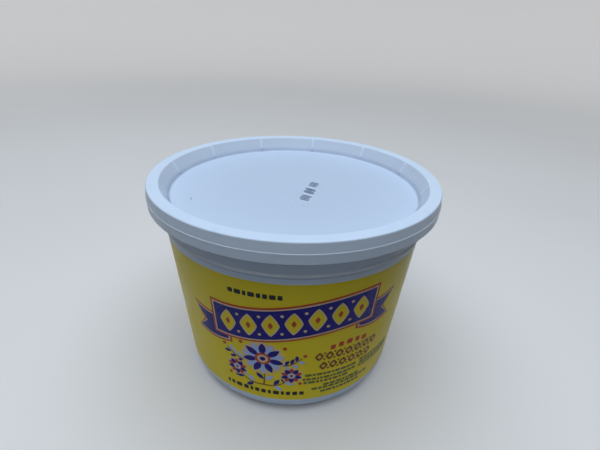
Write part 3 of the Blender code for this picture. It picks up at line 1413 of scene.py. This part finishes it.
@dataclass(frozen=True)
class RibbonBanner(Figure):
    """A waving ribbon with two notched tails: navy, edged in cream and red, with a row of yellow lozenges.

    Attributes:
        middle: Height of the band's middle line where it crosses the sheet's middle.
        rise: How far the line rises from there to the band's right end.
        half_length: Half the band's length.
        half_width: Half the band's width.
        tail_start: Distance across where a tail comes out from behind the band.
        tail_reach: Distance across of a tail's tips.
        tail_drop: How far a tail lies below the band's end.
        tail_half_width: Half a tail's width.
        tail_bend: How far a tail's middle sags.
        notch: Depth of a tail's notch.
        cream: Width of the cream edge.
        red: Width of the red edge round it.
        lozenges: Number of lozenges.
        lozenge_pitch: Distance from one lozenge to the next.
        lozenge_size: Half the width and half the height of a lozenge.
        lozenge_edge: Width of its cream edge at its sides and at its ends.
        heart_size: Half the width and half the height of the red lozenge in its middle.
        dot_radius: Radius of the cream dots between the lozenges.
        dot_share: Distance of a dot from the middle line, as a share of half the band's width.
        columns: Points along the band.
        rows: Points across it, an odd number.
    """

    middle: float = 74.5
    rise: float = 5.5
    half_length: float = 43.0
    half_width: float = 10.0
    tail_start: float = 36.0
    tail_reach: float = 57.0
    tail_drop: float = 6.5
    tail_half_width: float = 7.6
    tail_bend: float = 1.5
    notch: float = 6.5
    cream: float = 0.9
    red: float = 1.2
    lozenges: int = 7
    lozenge_pitch: float = 11.6
    lozenge_size: Pair = (3.9, 6.6)
    lozenge_edge: Pair = (0.8, 1.1)
    heart_size: Pair = (1.3, 2.3)
    dot_radius: float = 0.9
    dot_share: float = 0.62
    columns: int = 61
    rows: int = 11

    def line(self, across: Array) -> Array:
        """Height of the band's middle line: a quarter of a sine wave to each side of the middle."""
        return self.middle + self.rise * np.sin(across / self.half_length * math.pi / 2)

    def band(self, sheet: Sheet, grow: float, layer: int) -> Surface:
        """The band, grown on all sides.

        Args:
            sheet: The sheet to draw it on.
            grow: How far it is grown.
            layer: Number of the layer of ink.

        Returns:
            The band's surface.
        """
        along = np.linspace(-1.0, 1.0, self.columns) * (self.half_length + grow)
        share = np.linspace(-1.0, 1.0, self.rows)[:, None]
        up = self.line(along)[None, :] + share * (self.half_width + grow)
        return sheet.strip(np.repeat(along[None, :], self.rows, axis=0), up, layer)

    def tail(self, sheet: Sheet, way: int, grow: float, layer: int) -> Surface:
        """One tail, grown on all sides; its outer end is cut back by the notch towards its middle line.

        Args:
            sheet: The sheet to draw it on.
            way: 1 for the right tail, -1 for the left one.
            grow: How far it is grown.
            layer: Number of the layer of ink.

        Returns:
            The tail's surface.
        """
        share = np.linspace(-1.0, 1.0, self.rows)[:, None]
        outer = self.tail_reach + grow - self.notch * (1 - np.abs(share))
        inner = self.tail_start - grow
        distance = inner + (outer - inner) * np.linspace(0.0, 1.0, self.columns)[None, :]
        along = (distance - self.tail_start) / (self.tail_reach - self.tail_start)
        level = self.line(np.array(way * self.half_length)) - self.tail_drop
        up = level - self.tail_bend * np.sin(along * math.pi) + share * (self.tail_half_width + grow)
        return sheet.strip((way * distance)[:, ::way], up[:, ::way], layer)

    def draw(self, sheet: Sheet) -> list[tuple[Ink, Surface]]:
        """Draw the banner from its tails up to its lozenges.

        Args:
            sheet: The sheet to draw it on.

        Returns:
            Each surface with its ink.
        """
        drawn = []
        edges = ((Ink.RED, self.cream + self.red), (Ink.CREAM, self.cream), (Ink.NAVY, 0.0))
        for layer, (ink, grow) in enumerate(edges):
            drawn += [(ink, self.tail(sheet, way, grow, layer)) for way in (-1, 1)]
            drawn.append((ink, self.band(sheet, grow, layer + len(edges))))
        top = 2 * len(edges)
        places = (np.arange(self.lozenges) - (self.lozenges - 1) / 2) * self.lozenge_pitch
        centres = np.stack([places, self.line(places)], axis=-1)
        edge_size = np.add(self.lozenge_size, self.lozenge_edge)
        outer = power_outline(*edge_size, SOFT_LOZENGE, points=32)
        inner = power_outline(*self.lozenge_size, SOFT_LOZENGE, points=32)
        heart = power_outline(*self.heart_size, SOFT_LOZENGE, points=16)
        gaps = (places[1:] + places[:-1]) / 2
        away = self.half_width * self.dot_share
        dots = np.concatenate([np.stack([gaps, self.line(gaps) + way * away], axis=-1) for way in (-1, 1)])
        drawn.append((Ink.CREAM, sheet.spots(outer, centres, top, rings=2)))
        drawn.append((Ink.YELLOW, sheet.spots(inner, centres, top + 1, rings=2)))
        drawn.append((Ink.RED, sheet.spots(heart, centres, top + 2)))
        drawn.append((Ink.CREAM, sheet.spots(disc_outline(self.dot_radius, points=14), dots, top)))
        return drawn


@dataclass(frozen=True)
class Blossom(Figure):
    """A round flower: a ring of pointed petals in two inks on a cream ground, and a ringed heart.

    All shares are shares of the flower's radius.

    Attributes:
        centre: Its centre.
        radius: Its radius.
        petals: Number of petals.
        petal_inks: Inks that the petals take in turn.
        heart_ink: Ink of the heart's outer ring.
        layer: Number of the lowest layer.
        ground_share: Radius of the ground between its scallops.
        scallop_share: How far a scallop stands out.
        petal_length_share: Half the length of a petal.
        petal_width_share: Half the width of a petal, times the number of petals.
        petal_place_share: Distance of a petal's middle from the centre.
        heart_shares: Radii of the heart's three discs.
        ring_step: Longest step between the ground's rings of points.
    """

    centre: Pair
    radius: float
    petals: int
    petal_inks: tuple[Ink, Ink]
    heart_ink: Ink = Ink.PALE_BLUE
    layer: int = 2
    ground_share: float = 0.93
    scallop_share: float = 0.1
    petal_length_share: float = 0.36
    petal_width_share: float = 2.3
    petal_place_share: float = 0.6
    heart_shares: Triple = (0.36, 0.25, 0.13)
    ring_step: float = 2.5

    def draw(self, sheet: Sheet) -> list[tuple[Ink, Surface]]:
        """Draw the ground, the petals and the heart, each on a layer of its own.

        Args:
            sheet: The sheet to draw it on.

        Returns:
            Each surface with its ink.
        """
        middle = np.array([self.centre])
        ground_radius, scallop = self.radius * self.ground_share, self.radius * self.scallop_share
        ground = scallop_outline(ground_radius, scallop, self.petals, points=8 * self.petals)
        rings = max(1, math.ceil(self.radius / self.ring_step))
        drawn = [(Ink.CREAM, sheet.spots(ground, middle, self.layer, rings))]
        half_width = self.radius * self.petal_width_share / self.petals
        petal = petal_outline(self.radius * self.petal_length_share, half_width, points=18)
        turns = (np.arange(self.petals) + 0.5) * math.tau / self.petals
        directions = np.stack([np.cos(turns), np.sin(turns)], axis=-1)
        places = middle + self.radius * self.petal_place_share * directions
        for start, ink in enumerate(self.petal_inks):
            chosen = slice(start, None, len(self.petal_inks))
            shapes = copies_turned(petal, turns[chosen])
            drawn.append((ink, sheet.spots(shapes, places[chosen], self.layer + 1 + start, rings=3)))
        heart_layer = self.layer + 1 + len(self.petal_inks)
        heart_inks = (self.heart_ink, Ink.CREAM, Ink.NAVY)
        for layer, (ink, share) in enumerate(zip(heart_inks, self.heart_shares), start=heart_layer):
            disc = disc_outline(self.radius * share, points=24)
            drawn.append((ink, sheet.spots(disc, middle, layer, rings=2)))
        return drawn


@dataclass(frozen=True)
class Spray(Figure):
    """A curved stem with leaves in pairs.

    Attributes:
        foot: Where the stem starts.
        tip: Where it ends.
        bow: How far its middle bows to the right.
        half_width: Half the stem's width at its foot.
        thinning: Share of that width that is lost at its tip.
        leaves: Pairs of leaves.
        leaf_size: Half the length and half the width of a leaf.
        leaf_inks: Inks of the leaves on the left and on the right.
        leaf_angle: Angle between a leaf and the stem, in degrees.
        first_leaf: Length of bare stem before the first pair, as a share of the distance between pairs.
        columns: Points along the stem.
    """

    foot: Pair
    tip: Pair
    bow: float
    half_width: float = 0.55
    thinning: float = 0.5
    leaves: int = 3
    leaf_size: Pair = (3.4, 1.5)
    leaf_inks: tuple[Ink, Ink] = (Ink.NAVY, Ink.PALE_BLUE)
    leaf_angle: float = 48.0
    first_leaf: float = 0.8
    columns: int = 25

    def along(self, share: Array) -> tuple[Array, Array]:
        """Points and directions of the stem.

        A point is the foot plus a share of the way to the tip, moved to the right of the way by the bow times
        the sine of half a turn's share.

        Args:
            share: Shares of the way.

        Returns:
            The points, and the directions with length 1.
        """
        foot = np.array(self.foot)
        way = np.array(self.tip) - foot
        right = np.array([way[1], -way[0]]) / np.linalg.norm(way)
        points = foot + share[:, None] * way + self.bow * np.sin(share * math.pi)[:, None] * right
        directions = way + self.bow * math.pi * np.cos(share * math.pi)[:, None] * right
        return points, directions / np.linalg.norm(directions, axis=1, keepdims=True)

    def draw(self, sheet: Sheet) -> list[tuple[Ink, Surface]]:
        """Draw the stem, which thins towards its tip, and its leaves.

        Args:
            sheet: The sheet to draw it on.

        Returns:
            Each surface with its ink.
        """
        share = np.linspace(0.0, 1.0, self.columns)
        points, directions = self.along(share)
        left = np.stack([-directions[:, 1], directions[:, 0]], axis=-1)
        side = np.array([-1.0, 1.0])[:, None, None]
        width = self.half_width * (1 - self.thinning * share)[None, :, None]
        grid = points[None] + side * width * left[None]
        drawn = [(Ink.BROWN, sheet.strip(grid[..., 0], grid[..., 1], 0))]
        share = (np.arange(self.leaves) + self.first_leaf) / (self.leaves + self.first_leaf)
        points, directions = self.along(share)
        heading = np.arctan2(directions[:, 1], directions[:, 0])
        leaf = petal_outline(*self.leaf_size, points=18)
        reach = self.leaf_size[0] + self.half_width
        for way, ink in zip((1, -1), self.leaf_inks):
            turns = heading + way * math.radians(self.leaf_angle)
            centres = points + reach * np.stack([np.cos(turns), np.sin(turns)], axis=-1)
            drawn.append((ink, sheet.spots(copies_turned(leaf, turns), centres, 1, rings=2)))
        return drawn


@dataclass(frozen=True)
class Posy(Figure):
    """A posy of one large and two small blossoms on leafy sprays, with berries round it.

    Places with two numbers are on the right, across from the middle line and up; the left mirrors them.

    Attributes:
        middle: Distance across of its middle line.
        foot: Height where the stems meet.
        high_tip: Height of the middle spray's tip.
        large_height: Height of the large blossom's middle.
        small_middle: Place of a small blossom's middle.
        low_tip: Tip of a low spray.
        side_foot: Foot of a side spray.
        side_tip: Tip of a side spray.
        berry_radius: Radius of a berry.
        berries: Places of the berries.
    """

    middle: float = -16.4
    foot: float = 24.4
    high_tip: float = 40.0
    large_height: float = 46.6
    small_middle: Pair = (16.2, 34.4)
    low_tip: Pair = (16.0, 33.4)
    side_foot: Pair = (8.6, 42.0)
    side_tip: Pair = (21.6, 48.4)
    berry_radius: float = 1.15
    berries: tuple[Pair, ...] = ((23.2, 50.2), (21.4, 27.4), (12.2, 56.0))

    def mirrored(self, place: Pair, way: int) -> Pair:
        """A place moved from the middle line to the right (1) or the left (-1) of it."""
        return self.middle + way * place[0], place[1]

    def draw(self, sheet: Sheet) -> list[tuple[Ink, Surface]]:
        """Draw the sprays, then the blossoms, then the berries.

        Args:
            sheet: The sheet to draw it on.

        Returns:
            Each surface with its ink.
        """
        foot = (self.middle, self.foot)
        high_tip = (self.middle, self.high_tip)
        parts: list[Figure] = [Spray(foot, high_tip, bow=0.6, leaves=2, leaf_size=(3.2, 1.5))]
        for way in (-1, 1):
            low_tip = self.mirrored(self.low_tip, way)
            parts.append(Spray(foot, low_tip, bow=way * 3.2, leaves=2, leaf_size=(3.0, 1.4)))
            side_foot, side_tip = self.mirrored(self.side_foot, way), self.mirrored(self.side_tip, way)
            parts.append(Spray(side_foot, side_tip, bow=way * 1.8, leaf_size=(2.3, 1.1)))
            small = self.mirrored(self.small_middle, way)
            parts.append(Blossom(small, radius=6.4, petals=10, petal_inks=(Ink.RED, Ink.NAVY)))
        large, inks = (self.middle, self.large_height), (Ink.PALE_BLUE, Ink.NAVY)
        parts.append(Blossom(large, radius=12.4, petals=14, petal_inks=inks, heart_ink=Ink.RED))
        drawn = [item for part in parts for item in part.draw(sheet)]
        berries = np.array([self.mirrored(place, way) for way in (-1, 1) for place in self.berries])
        drawn.append((Ink.RED, sheet.spots(disc_outline(self.berry_radius, points=14), berries, 2)))
        return drawn


@dataclass(frozen=True)
class DashRow(Figure):
    """A row of rounded bars of uneven lengths, where a line of words would stand.

    Attributes:
        ink: Its ink.
        start: Left end.
        end: Right end.
        up: Height of the row's middle.
        height: Height of the bars.
        seed: Seed of the bars' lengths.
        layer: Number of the layer of ink.
        shortest: Least length of a bar, as a multiple of its height.
        longest: Greatest length of a bar, as a multiple of its height.
        gap: Gap between bars, as a multiple of their height.
        arch: How far the row's middle rises above its ends.
    """

    ink: Ink
    start: float
    end: float
    up: float
    height: float
    seed: int
    layer: int = 0
    shortest: float = 1.2
    longest: float = 4.2
    gap: float = 0.5
    arch: float = 0.0

    def draw(self, sheet: Sheet) -> list[tuple[Ink, Surface]]:
        """Draw the bars.

        Lengths are drawn at random, added up with a gap between them, and those that fit are stretched to
        fill the row. With an arch, the row's height falls as the square of the distance from its middle.

        Args:
            sheet: The sheet to draw it on.

        Returns:
            The bars' surface with its ink.
        """
        room = self.end - self.start
        gap = self.gap * self.height
        most = math.ceil(room / (self.shortest * self.height)) + 1
        lengths = np.random.default_rng(self.seed).uniform(self.shortest, self.longest, most) * self.height
        ends = np.cumsum(lengths + gap)
        count = max(1, int(np.sum(ends <= room + gap)))
        stretch = room / (ends[count - 1] - gap)
        lengths, ends = lengths[:count] * stretch, (ends[:count] - gap) * stretch
        across = self.start + ends - lengths / 2
        off_middle = (across - (self.start + self.end) / 2) / (room / 2)
        centres = np.stack([across, self.up + self.arch * (1 - off_middle**2)], axis=-1)
        sizes = np.stack([lengths / 2, np.full(count, self.height / 2)], axis=-1)
        outlines = power_outline(1.0, 1.0, BAR, points=16) * sizes[:, None, :]
        return [(self.ink, sheet.spots(outlines, centres, self.layer, rings=2))]


@dataclass(frozen=True)
class LozengeRow(Figure):
    """A row of brown lozenges with yellow eyes, and dots above and below the gaps between them.

    Attributes:
        start: Centre of the first lozenge.
        end: Centre of the last one.
        up: Height of the row's middle.
        height: Height of a lozenge.
        count: Number of lozenges.
        body_share: Half the width of a lozenge, as a share of the distance between two.
        eye_shares: Half the width and half the height of an eye, as shares of that distance and the height.
        dot_radius: Radius of a dot.
        dot_share: Distance of a dot from the row's middle, as a share of the height.
    """

    start: float
    end: float
    up: float
    height: float
    count: int
    body_share: float = 0.43
    eye_shares: Pair = (0.17, 0.19)
    dot_radius: float = 0.75
    dot_share: float = 0.36

    def draw(self, sheet: Sheet) -> list[tuple[Ink, Surface]]:
        """Draw the lozenges, their eyes and the dots.

        Args:
            sheet: The sheet to draw it on.

        Returns:
            Each surface with its ink.
        """
        across = np.linspace(self.start, self.end, self.count)
        pitch = across[1] - across[0]
        centres = np.stack([across, np.full(self.count, self.up)], axis=-1)
        body = power_outline(pitch * self.body_share, self.height / 2, PLUMP_LOZENGE, points=24)
        eye_size = (pitch * self.eye_shares[0], self.height * self.eye_shares[1])
        eye = power_outline(*eye_size, PLUMP_LOZENGE, points=16)
        gaps = centres[:-1] + (pitch / 2, 0.0)
        away = (0.0, self.height * self.dot_share)
        dots = np.concatenate([gaps + away, gaps - away])
        return [
            (Ink.BROWN, sheet.spots(body, centres, 0, rings=2)),
            (Ink.YELLOW, sheet.spots(eye, centres, 1)),
            (Ink.BROWN, sheet.spots(disc_outline(self.dot_radius, points=12), dots, 0)),
        ]


@dataclass(frozen=True)
class SmallPrint(Figure):
    """The rows of bars and lozenges round the banner and the posy.

    Attributes:
        bold: The bold rows, each with its own proportions.
        fine: Start, end and height of each fine row.
        fine_height: Height of the bars in the fine rows.
        fine_seed: Seed of the first fine row; the others follow.
    """

    bold: tuple[Figure, ...] = (
        DashRow(Ink.BLACK, -32.7, -5.7, 91.4, 2.9, seed=1, shortest=0.5, longest=1.15, gap=0.28),
        DashRow(Ink.RED, 20.6, 43.6, 54.2, 3.6, seed=2, shortest=0.7, longest=1.1, arch=1.6),
        LozengeRow(14.8, 50.6, 48.4, 6.6, 7),
        LozengeRow(17.8, 47.6, 40.6, 6.6, 6),
        DashRow(Ink.BLACK, -41.0, 7.7, 18.6, 3.2, seed=3, shortest=0.4, longest=1.3, gap=0.36),
    )
    fine: tuple[Triple, ...] = (
        (7.6, 40.4, 33.9),
        (6.4, 40.4, 30.5),
        (7.0, 35.3, 27.6),
        (19.2, 44.3, 23.9),
        (12.2, 52.0, 21.4),
        (18.0, 45.5, 18.2),
        (43.0, 71.2, 35.0),
        (43.6, 71.2, 32.4),
        (43.0, 71.2, 29.8),
    )
    fine_height: float = 2.0
    fine_seed: int = 10

    def draw(self, sheet: Sheet) -> list[tuple[Ink, Surface]]:
        """Draw the bold rows, then the fine ones.

        Args:
            sheet: The sheet to draw them on.

        Returns:
            Each surface with its ink.
        """
        proportions = {"shortest": 0.6, "longest": 2.0, "gap": 0.25}
        fine = [
            DashRow(Ink.GREY_GREEN, *place, self.fine_height, seed, **proportions)
            for seed, place in enumerate(self.fine, start=self.fine_seed)
        ]
        return [item for row in (*self.bold, *fine) for item in row.draw(sheet)]


@dataclass(frozen=True)
class FactsPanel(Figure):
    """A framed cream panel with rows of bars.

    Attributes:
        half_width: Half its width.
        span: Heights of its lower and upper edges.
        frame_width: Width of its black frame.
        rows: Number of rows of bars, the first of them tall.
        row_margins: Distance of the last row from the lower edge, and of the first from the upper edge.
        row_start: Left end of the rows.
        row_ends: Least and greatest right end of a row.
        row_height: Height of the bars in a row.
        tall_height: Height of the bars in the first row.
        ends_seed: Seed of the rows' right ends.
        bars_seed: Seed of the first row's bars; the others follow.
        grid: Points across and up a plate.
    """

    half_width: float = 14.5
    span: Pair = (26.0, 86.0)
    frame_width: float = 0.7
    rows: int = 15
    row_margins: Pair = (3.0, 4.0)
    row_start: float = -12.5
    row_ends: Pair = (2.0, 12.0)
    row_height: float = 1.3
    tall_height: float = 2.8
    ends_seed: int = 40
    bars_seed: int = 50
    grid: tuple[int, int] = (17, 5)

    def plate(self, sheet: Sheet, grow: float, layer: int) -> Surface:
        """An upright oblong on the sheet.

        Args:
            sheet: The sheet to draw it on.
            grow: How far it is grown.
            layer: Number of the layer of ink.

        Returns:
            Its surface.
        """
        across = np.linspace(-1.0, 1.0, self.grid[0]) * (self.half_width + grow)
        up = np.linspace(self.span[0] - grow, self.span[1] + grow, self.grid[1])
        return sheet.strip(*np.meshgrid(across, up), layer)

    def draw(self, sheet: Sheet) -> list[tuple[Ink, Surface]]:
        """Draw the frame, the panel and its rows.

        Args:
            sheet: The sheet to draw it on.

        Returns:
            Each surface with its ink.
        """
        drawn = [(Ink.BLACK, self.plate(sheet, self.frame_width, 0)), (Ink.CREAM, self.plate(sheet, 0.0, 1))]
        lowest, highest = self.span[0] + self.row_margins[0], self.span[1] - self.row_margins[1]
        levels = np.linspace(highest, lowest, self.rows)
        ends = np.random.default_rng(self.ends_seed).uniform(*self.row_ends, self.rows)
        ends[0] = self.row_ends[1]
        for index, (up, end) in enumerate(zip(levels.tolist(), ends.tolist())):
            height = self.row_height if index else self.tall_height
            row = DashRow(Ink.BLACK, self.row_start, end, up, height, self.bars_seed + index, layer=2)
            drawn += row.draw(sheet)
        return drawn


@dataclass(frozen=True)
class LabelPrint:
    """The whole print of the wall: the main group on the front and back, a framed panel on each side.

    Attributes:
        tub: The tub.
    """

    tub: TubShell

    def build(self, shop: Workshop) -> None:
        """Draw every figure on its sides, and make one piece for each of its inks.

        Args:
            shop: Where pieces are made.
        """
        main_sides = (Side.FRONT, Side.BACK)
        plan: tuple[tuple[str, Figure, tuple[Side, ...]], ...] = (
            ("banner", RibbonBanner(), main_sides),
            ("posy", Posy(), main_sides),
            ("small_print", SmallPrint(), main_sides),
            ("facts_panel", FactsPanel(), (Side.LEFT, Side.RIGHT)),
        )
        for name, figure, sides in plan:
            for side in sides:
                drawn = figure.draw(WallSheet(self.tub, side))
                for ink in dict.fromkeys(ink for ink, _ in drawn):
                    surface = joined([part for used, part in drawn if used is ink])
                    piece_name = f"{side.name.lower()}_{name}_{ink.name.lower()}"
                    shop.piece(piece_name, surface, ink.value, [shop.inks[ink]])


@dataclass(frozen=True)
class LotMarks:
    """Groups of plain slanted strokes sprayed on the lid's panel, with stray droplets round them.

    Attributes:
        lid: The lid.
        middle: Place of their middle on the panel, in millimetres.
        turn: Direction of the row, in degrees from X.
        groups: Number of groups.
        in_group: Strokes in each group.
        group_pitch: Distance from one group to the next.
        pitch: Distance from one stroke to the next.
        stroke: Half the width and half the height of a stroke.
        stroke_shrink: Least and greatest size of a stroke, as a share of the full one.
        stagger: How far a stroke may stand off the row.
        lean: Lean of the strokes, in degrees.
        droplets: Number of stray droplets.
        droplet_sizes: Least and greatest radius of a droplet.
        spread: Half the length and half the width of the patch that the droplets fall on.
        scatter: Usual distance of a droplet from the middle, as a share of the patch.
        seed: Seed of the strokes' uneven sizes and of the droplets.
    """

    lid: LidShell
    middle: Pair = (9.2, -7.2)
    turn: float = 77.0
    groups: int = 3
    in_group: int = 4
    group_pitch: float = 10.9
    pitch: float = 1.9
    stroke: Pair = (0.74, 3.6)
    stroke_shrink: Pair = (0.76, 1.0)
    stagger: float = 0.4
    lean: float = 14.0
    droplets: int = 40
    droplet_sizes: Pair = (0.10, 0.26)
    spread: Pair = (24.0, 8.0)
    scatter: float = 0.45
    seed: int = 7

    def build(self, shop: Workshop) -> None:
        """Spray the strokes and the droplets.

        A stroke stands at its group's number times the group pitch plus its own number times the pitch, less
        the mean of them all.

        Args:
            shop: Where pieces are made.
        """
        sheet = PanelSheet(self.lid.top - self.lid.panel_drop, self.middle, self.turn)
        draws = np.random.default_rng(self.seed)
        group, step = np.divmod(np.arange(self.groups * self.in_group), self.in_group)
        across = group * self.group_pitch + step * self.pitch
        off_row = draws.uniform(-self.stagger, self.stagger, across.size)
        centres = np.stack([across - across.mean(), off_row], axis=-1)
        upright = power_outline(*self.stroke, STUB, points=16)
        strokes = copies_turned(upright, np.full(across.size, -math.radians(self.lean)))
        strokes = strokes * draws.uniform(*self.stroke_shrink, (across.size, 1, 1))
        sizes = draws.uniform(*self.droplet_sizes, (self.droplets, 1, 1))
        drops = disc_outline(1.0, points=8) * sizes
        fallen = draws.normal(0.0, self.scatter, (self.droplets, 2)) * self.spread
        surface = joined([sheet.spots(strokes, centres, 0), sheet.spots(drops, fallen, 0)])
        shop.piece("lot_marks", surface, STAMP_SLOT, [shop.sprayed])


@dataclass(frozen=True)
class Scratch:
    """A short fine dark scratch on the lid's panel.

    Attributes:
        lid: The lid.
        middle: Place of its middle on the panel, in millimetres.
        turn: Its direction, in degrees from X.
        half_length: Half its length.
        half_width: Half its width.
    """

    lid: LidShell
    middle: Pair = (-57.1, -25.5)
    turn: float = -76.0
    half_length: float = 3.0
    half_width: float = 0.19

    def build(self, shop: Workshop) -> None:
        """Draw the scratch as one thin pointed plate.

        Args:
            shop: Where pieces are made.
        """
        sheet = PanelSheet(self.lid.top - self.lid.panel_drop, self.middle, self.turn)
        outline = petal_outline(self.half_length, self.half_width, points=16)
        shop.piece("panel_scratch", sheet.spots(outline, np.zeros((1, 2)), 0), STAMP_SLOT, [shop.sprayed])


# The studio


@dataclass(frozen=True)
class Studio:
    """Pale round sweep of a floor, soft light from above, dim sky, and the photograph's camera.

    Attributes:
        floor_radius: Distance to the sweep's wall.
        sweep: Rounding between floor and wall.
        wall_height: Height of the wall.
        floor_thickness: Thickness of the floor and of its wall.
        floor_step: Longest step between points on the floor.
        floor_arc_steps: Steps in the floor's rounding.
        floor_columns: Columns of points round the floor.
        floor_paint: Paint of the floor.
        card_middle: Middle of the card that throws light back from the floor round the tub.
        card_radius: Radius of the card.
        card_span: Heights of its lower and upper faces.
        card_columns: Points round the card.
        card_paint: Paint of the card.
        light_colour: Colour of both lamps.
        lamp_place: Where the soft lamp hangs.
        lamp_size: Width of that lamp.
        lamp_power: Its power in watts.
        front_power: Power of the weak lamp behind the camera, in watts.
        front_size: Width of that lamp.
        front_distance: Its distance from the origin.
        front_elevation: Its elevation, in degrees.
        sky: Colour of the sky.
        sky_strength: Its strength.
        camera_place: Where the camera stands.
        camera_pitch: How far it looks down, in degrees; it heads along Y.
        camera_roll: How far it is turned about its own line of sight, in degrees.
        camera_lens: Its focal length in millimetres, on a sensor 36 millimetres wide.
        camera_clip: Distance from which it sees.
    """

    floor_radius: float = 2.3
    sweep: float = 0.9
    wall_height: float = 2.2
    floor_thickness: float = 0.02
    floor_step: float = 0.3
    floor_arc_steps: int = 24
    floor_columns: int = 128
    floor_paint: FloorPaint = FloorPaint("pale floor", (0.96, 0.88, 0.79), (0.94, 0.86, 0.77), glow=0.42)
    card_middle: Pair = (-0.03, -0.06)
    card_radius: float = 0.16
    card_span: Pair = (-3.0 * MILLIMETRE, -1.0 * MILLIMETRE)
    card_columns: int = 96
    card_paint: FloorPaint = FloorPaint("pale card", (0.56, 0.57, 0.60), (0.56, 0.57, 0.60))
    light_colour: Colour = (0.72, 0.84, 1.0)
    lamp_place: Triple = (-0.06, -0.08, 1.25)
    lamp_size: float = 1.8
    lamp_power: float = 19.3
    front_power: float = 1.15
    front_size: float = 0.8
    front_distance: float = 1.3
    front_elevation: float = 40.0
    sky: Colour = (0.72, 0.85, 1.0)
    sky_strength: float = 0.01
    camera_place: Triple = (0.00419, -0.22938, 0.20964)
    camera_pitch: float = 27.151
    camera_roll: float = 2.358
    camera_lens: float = 24.0
    camera_clip: float = 0.01

    def staged(self, name: str, surface: Surface, paint: FloorPaint) -> Object:
        """Set up a painted surface that isn't part of the object.

        Args:
            name: Its name.
            surface: The surface.
            paint: Its paint.

        Returns:
            What was set up.
        """
        made = bpy.data.objects.new(name, surface.mesh(name))
        bpy.context.scene.collection.objects.link(made)
        made.data.materials.append(paint.make())
        return made

    def floor(self) -> None:
        """Build the floor as a wide dish with a rounded foot to its wall.

        Light that strikes the floor isn't thrown back at the tub, and none is held up by it.
        """
        outer = self.floor_radius + self.floor_thickness
        section = Section(
            (
                Corner(0.0, 0.0),
                Corner(self.floor_radius, 0.0, self.sweep, self.floor_step),
                Corner(self.floor_radius, self.wall_height, step=self.floor_step),
                Corner(outer, self.wall_height),
                Corner(outer, -self.floor_thickness),
                Corner(0.0, -self.floor_thickness),
            ),
            arc_steps=self.floor_arc_steps,
            hold=self.floor_thickness / 4,
        ).points()
        surface = turned(section, turns_round(self.floor_columns))
        floor = self.staged("studio_floor", surface, self.floor_paint)
        floor.visible_diffuse = False
        floor.visible_shadow = False

    def card(self) -> None:
        """Lay a round card just under the floor's face; it lights the tub from below and isn't seen."""
        lower, upper = self.card_span
        section = np.array([[0.0, upper], [self.card_radius, upper], [self.card_radius, lower], [0.0, lower]])
        disc = turned(section, turns_round(self.card_columns))
        surface = Surface(disc.points + (*self.card_middle, 0.0), disc.quads, disc.triangles)
        self.staged("studio_card", surface, self.card_paint)

    def lamp(self, name: str, size: float, power: float) -> Object:
        """Make one round lamp of the studio's colour.

        Args:
            name: Its name.
            size: Its width.
            power: Its power in watts.

        Returns:
            The lamp, at the origin and facing down.
        """
        light = bpy.data.lights.new(name, "AREA")
        light.shape = "DISK"
        light.size = size
        light.energy = power
        light.color = self.light_colour
        lamp = bpy.data.objects.new(name, light)
        bpy.context.scene.collection.objects.link(lamp)
        return lamp

    def lamps(self) -> None:
        """Hang the soft lamp, and stand the weak one behind the camera, turned to the tub."""
        self.lamp("soft_lamp", self.lamp_size, self.lamp_power).location = self.lamp_place
        front = self.lamp("front_lamp", self.front_size, self.front_power)
        elevation = math.radians(self.front_elevation)
        away = self.front_distance * math.cos(elevation)
        front.location = (0.0, -away, self.front_distance * math.sin(elevation))
        front.rotation_euler = (math.pi / 2 - elevation, 0.0, 0.0)

    def dim_sky(self) -> None:
        """Set the sky."""
        world = bpy.data.worlds.new("sky")
        world.use_nodes = True
        background = world.node_tree.nodes["Background"]
        background.inputs["Color"].default_value = (*self.sky, 1.0)
        background.inputs["Strength"].default_value = self.sky_strength
        bpy.context.scene.world = world

    def camera(self) -> None:
        """Place the camera: its own axes are pitched down from level, then rolled about the line of sight."""
        lens = bpy.data.cameras.new("camera")
        lens.lens = self.camera_lens
        lens.clip_start = self.camera_clip
        camera = bpy.data.objects.new("camera", lens)
        turn = Matrix.Rotation(math.radians(90 - self.camera_pitch), 4, "X")
        roll = Matrix.Rotation(math.radians(self.camera_roll), 4, "Z")
        camera.matrix_world = Matrix.Translation(self.camera_place) @ turn @ roll
        bpy.context.scene.collection.objects.link(camera)
        bpy.context.scene.camera = camera

    def build(self) -> None:
        """Build the floor, its card, the lamps, the sky and the camera, and show colours as they are."""
        self.floor()
        self.card()
        self.lamps()
        self.dim_sky()
        self.camera()
        bpy.context.scene.view_settings.view_transform = "Standard"
        bpy.context.scene.view_settings.look = "None"


def main() -> None:
    """Build the lid, the tub, its print and the studio, and report each piece."""
    logging.basicConfig(level=logging.INFO, format="%(message)s")
    shop = Workshop()
    lid = LidShell(top=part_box("lid")[1][2])
    tub = TubShell(lid)
    lid.build(shop)
    tub.build(shop)
    LabelPrint(tub).build(shop)
    LotMarks(lid).build(shop)
    Scratch(lid).build(shop)
    Studio().build()
    for piece in shop.pieces:
        LOG.info("%s: %d faces", piece.name, len(piece.data.polygons))


if __name__ == "__main__":
    main()
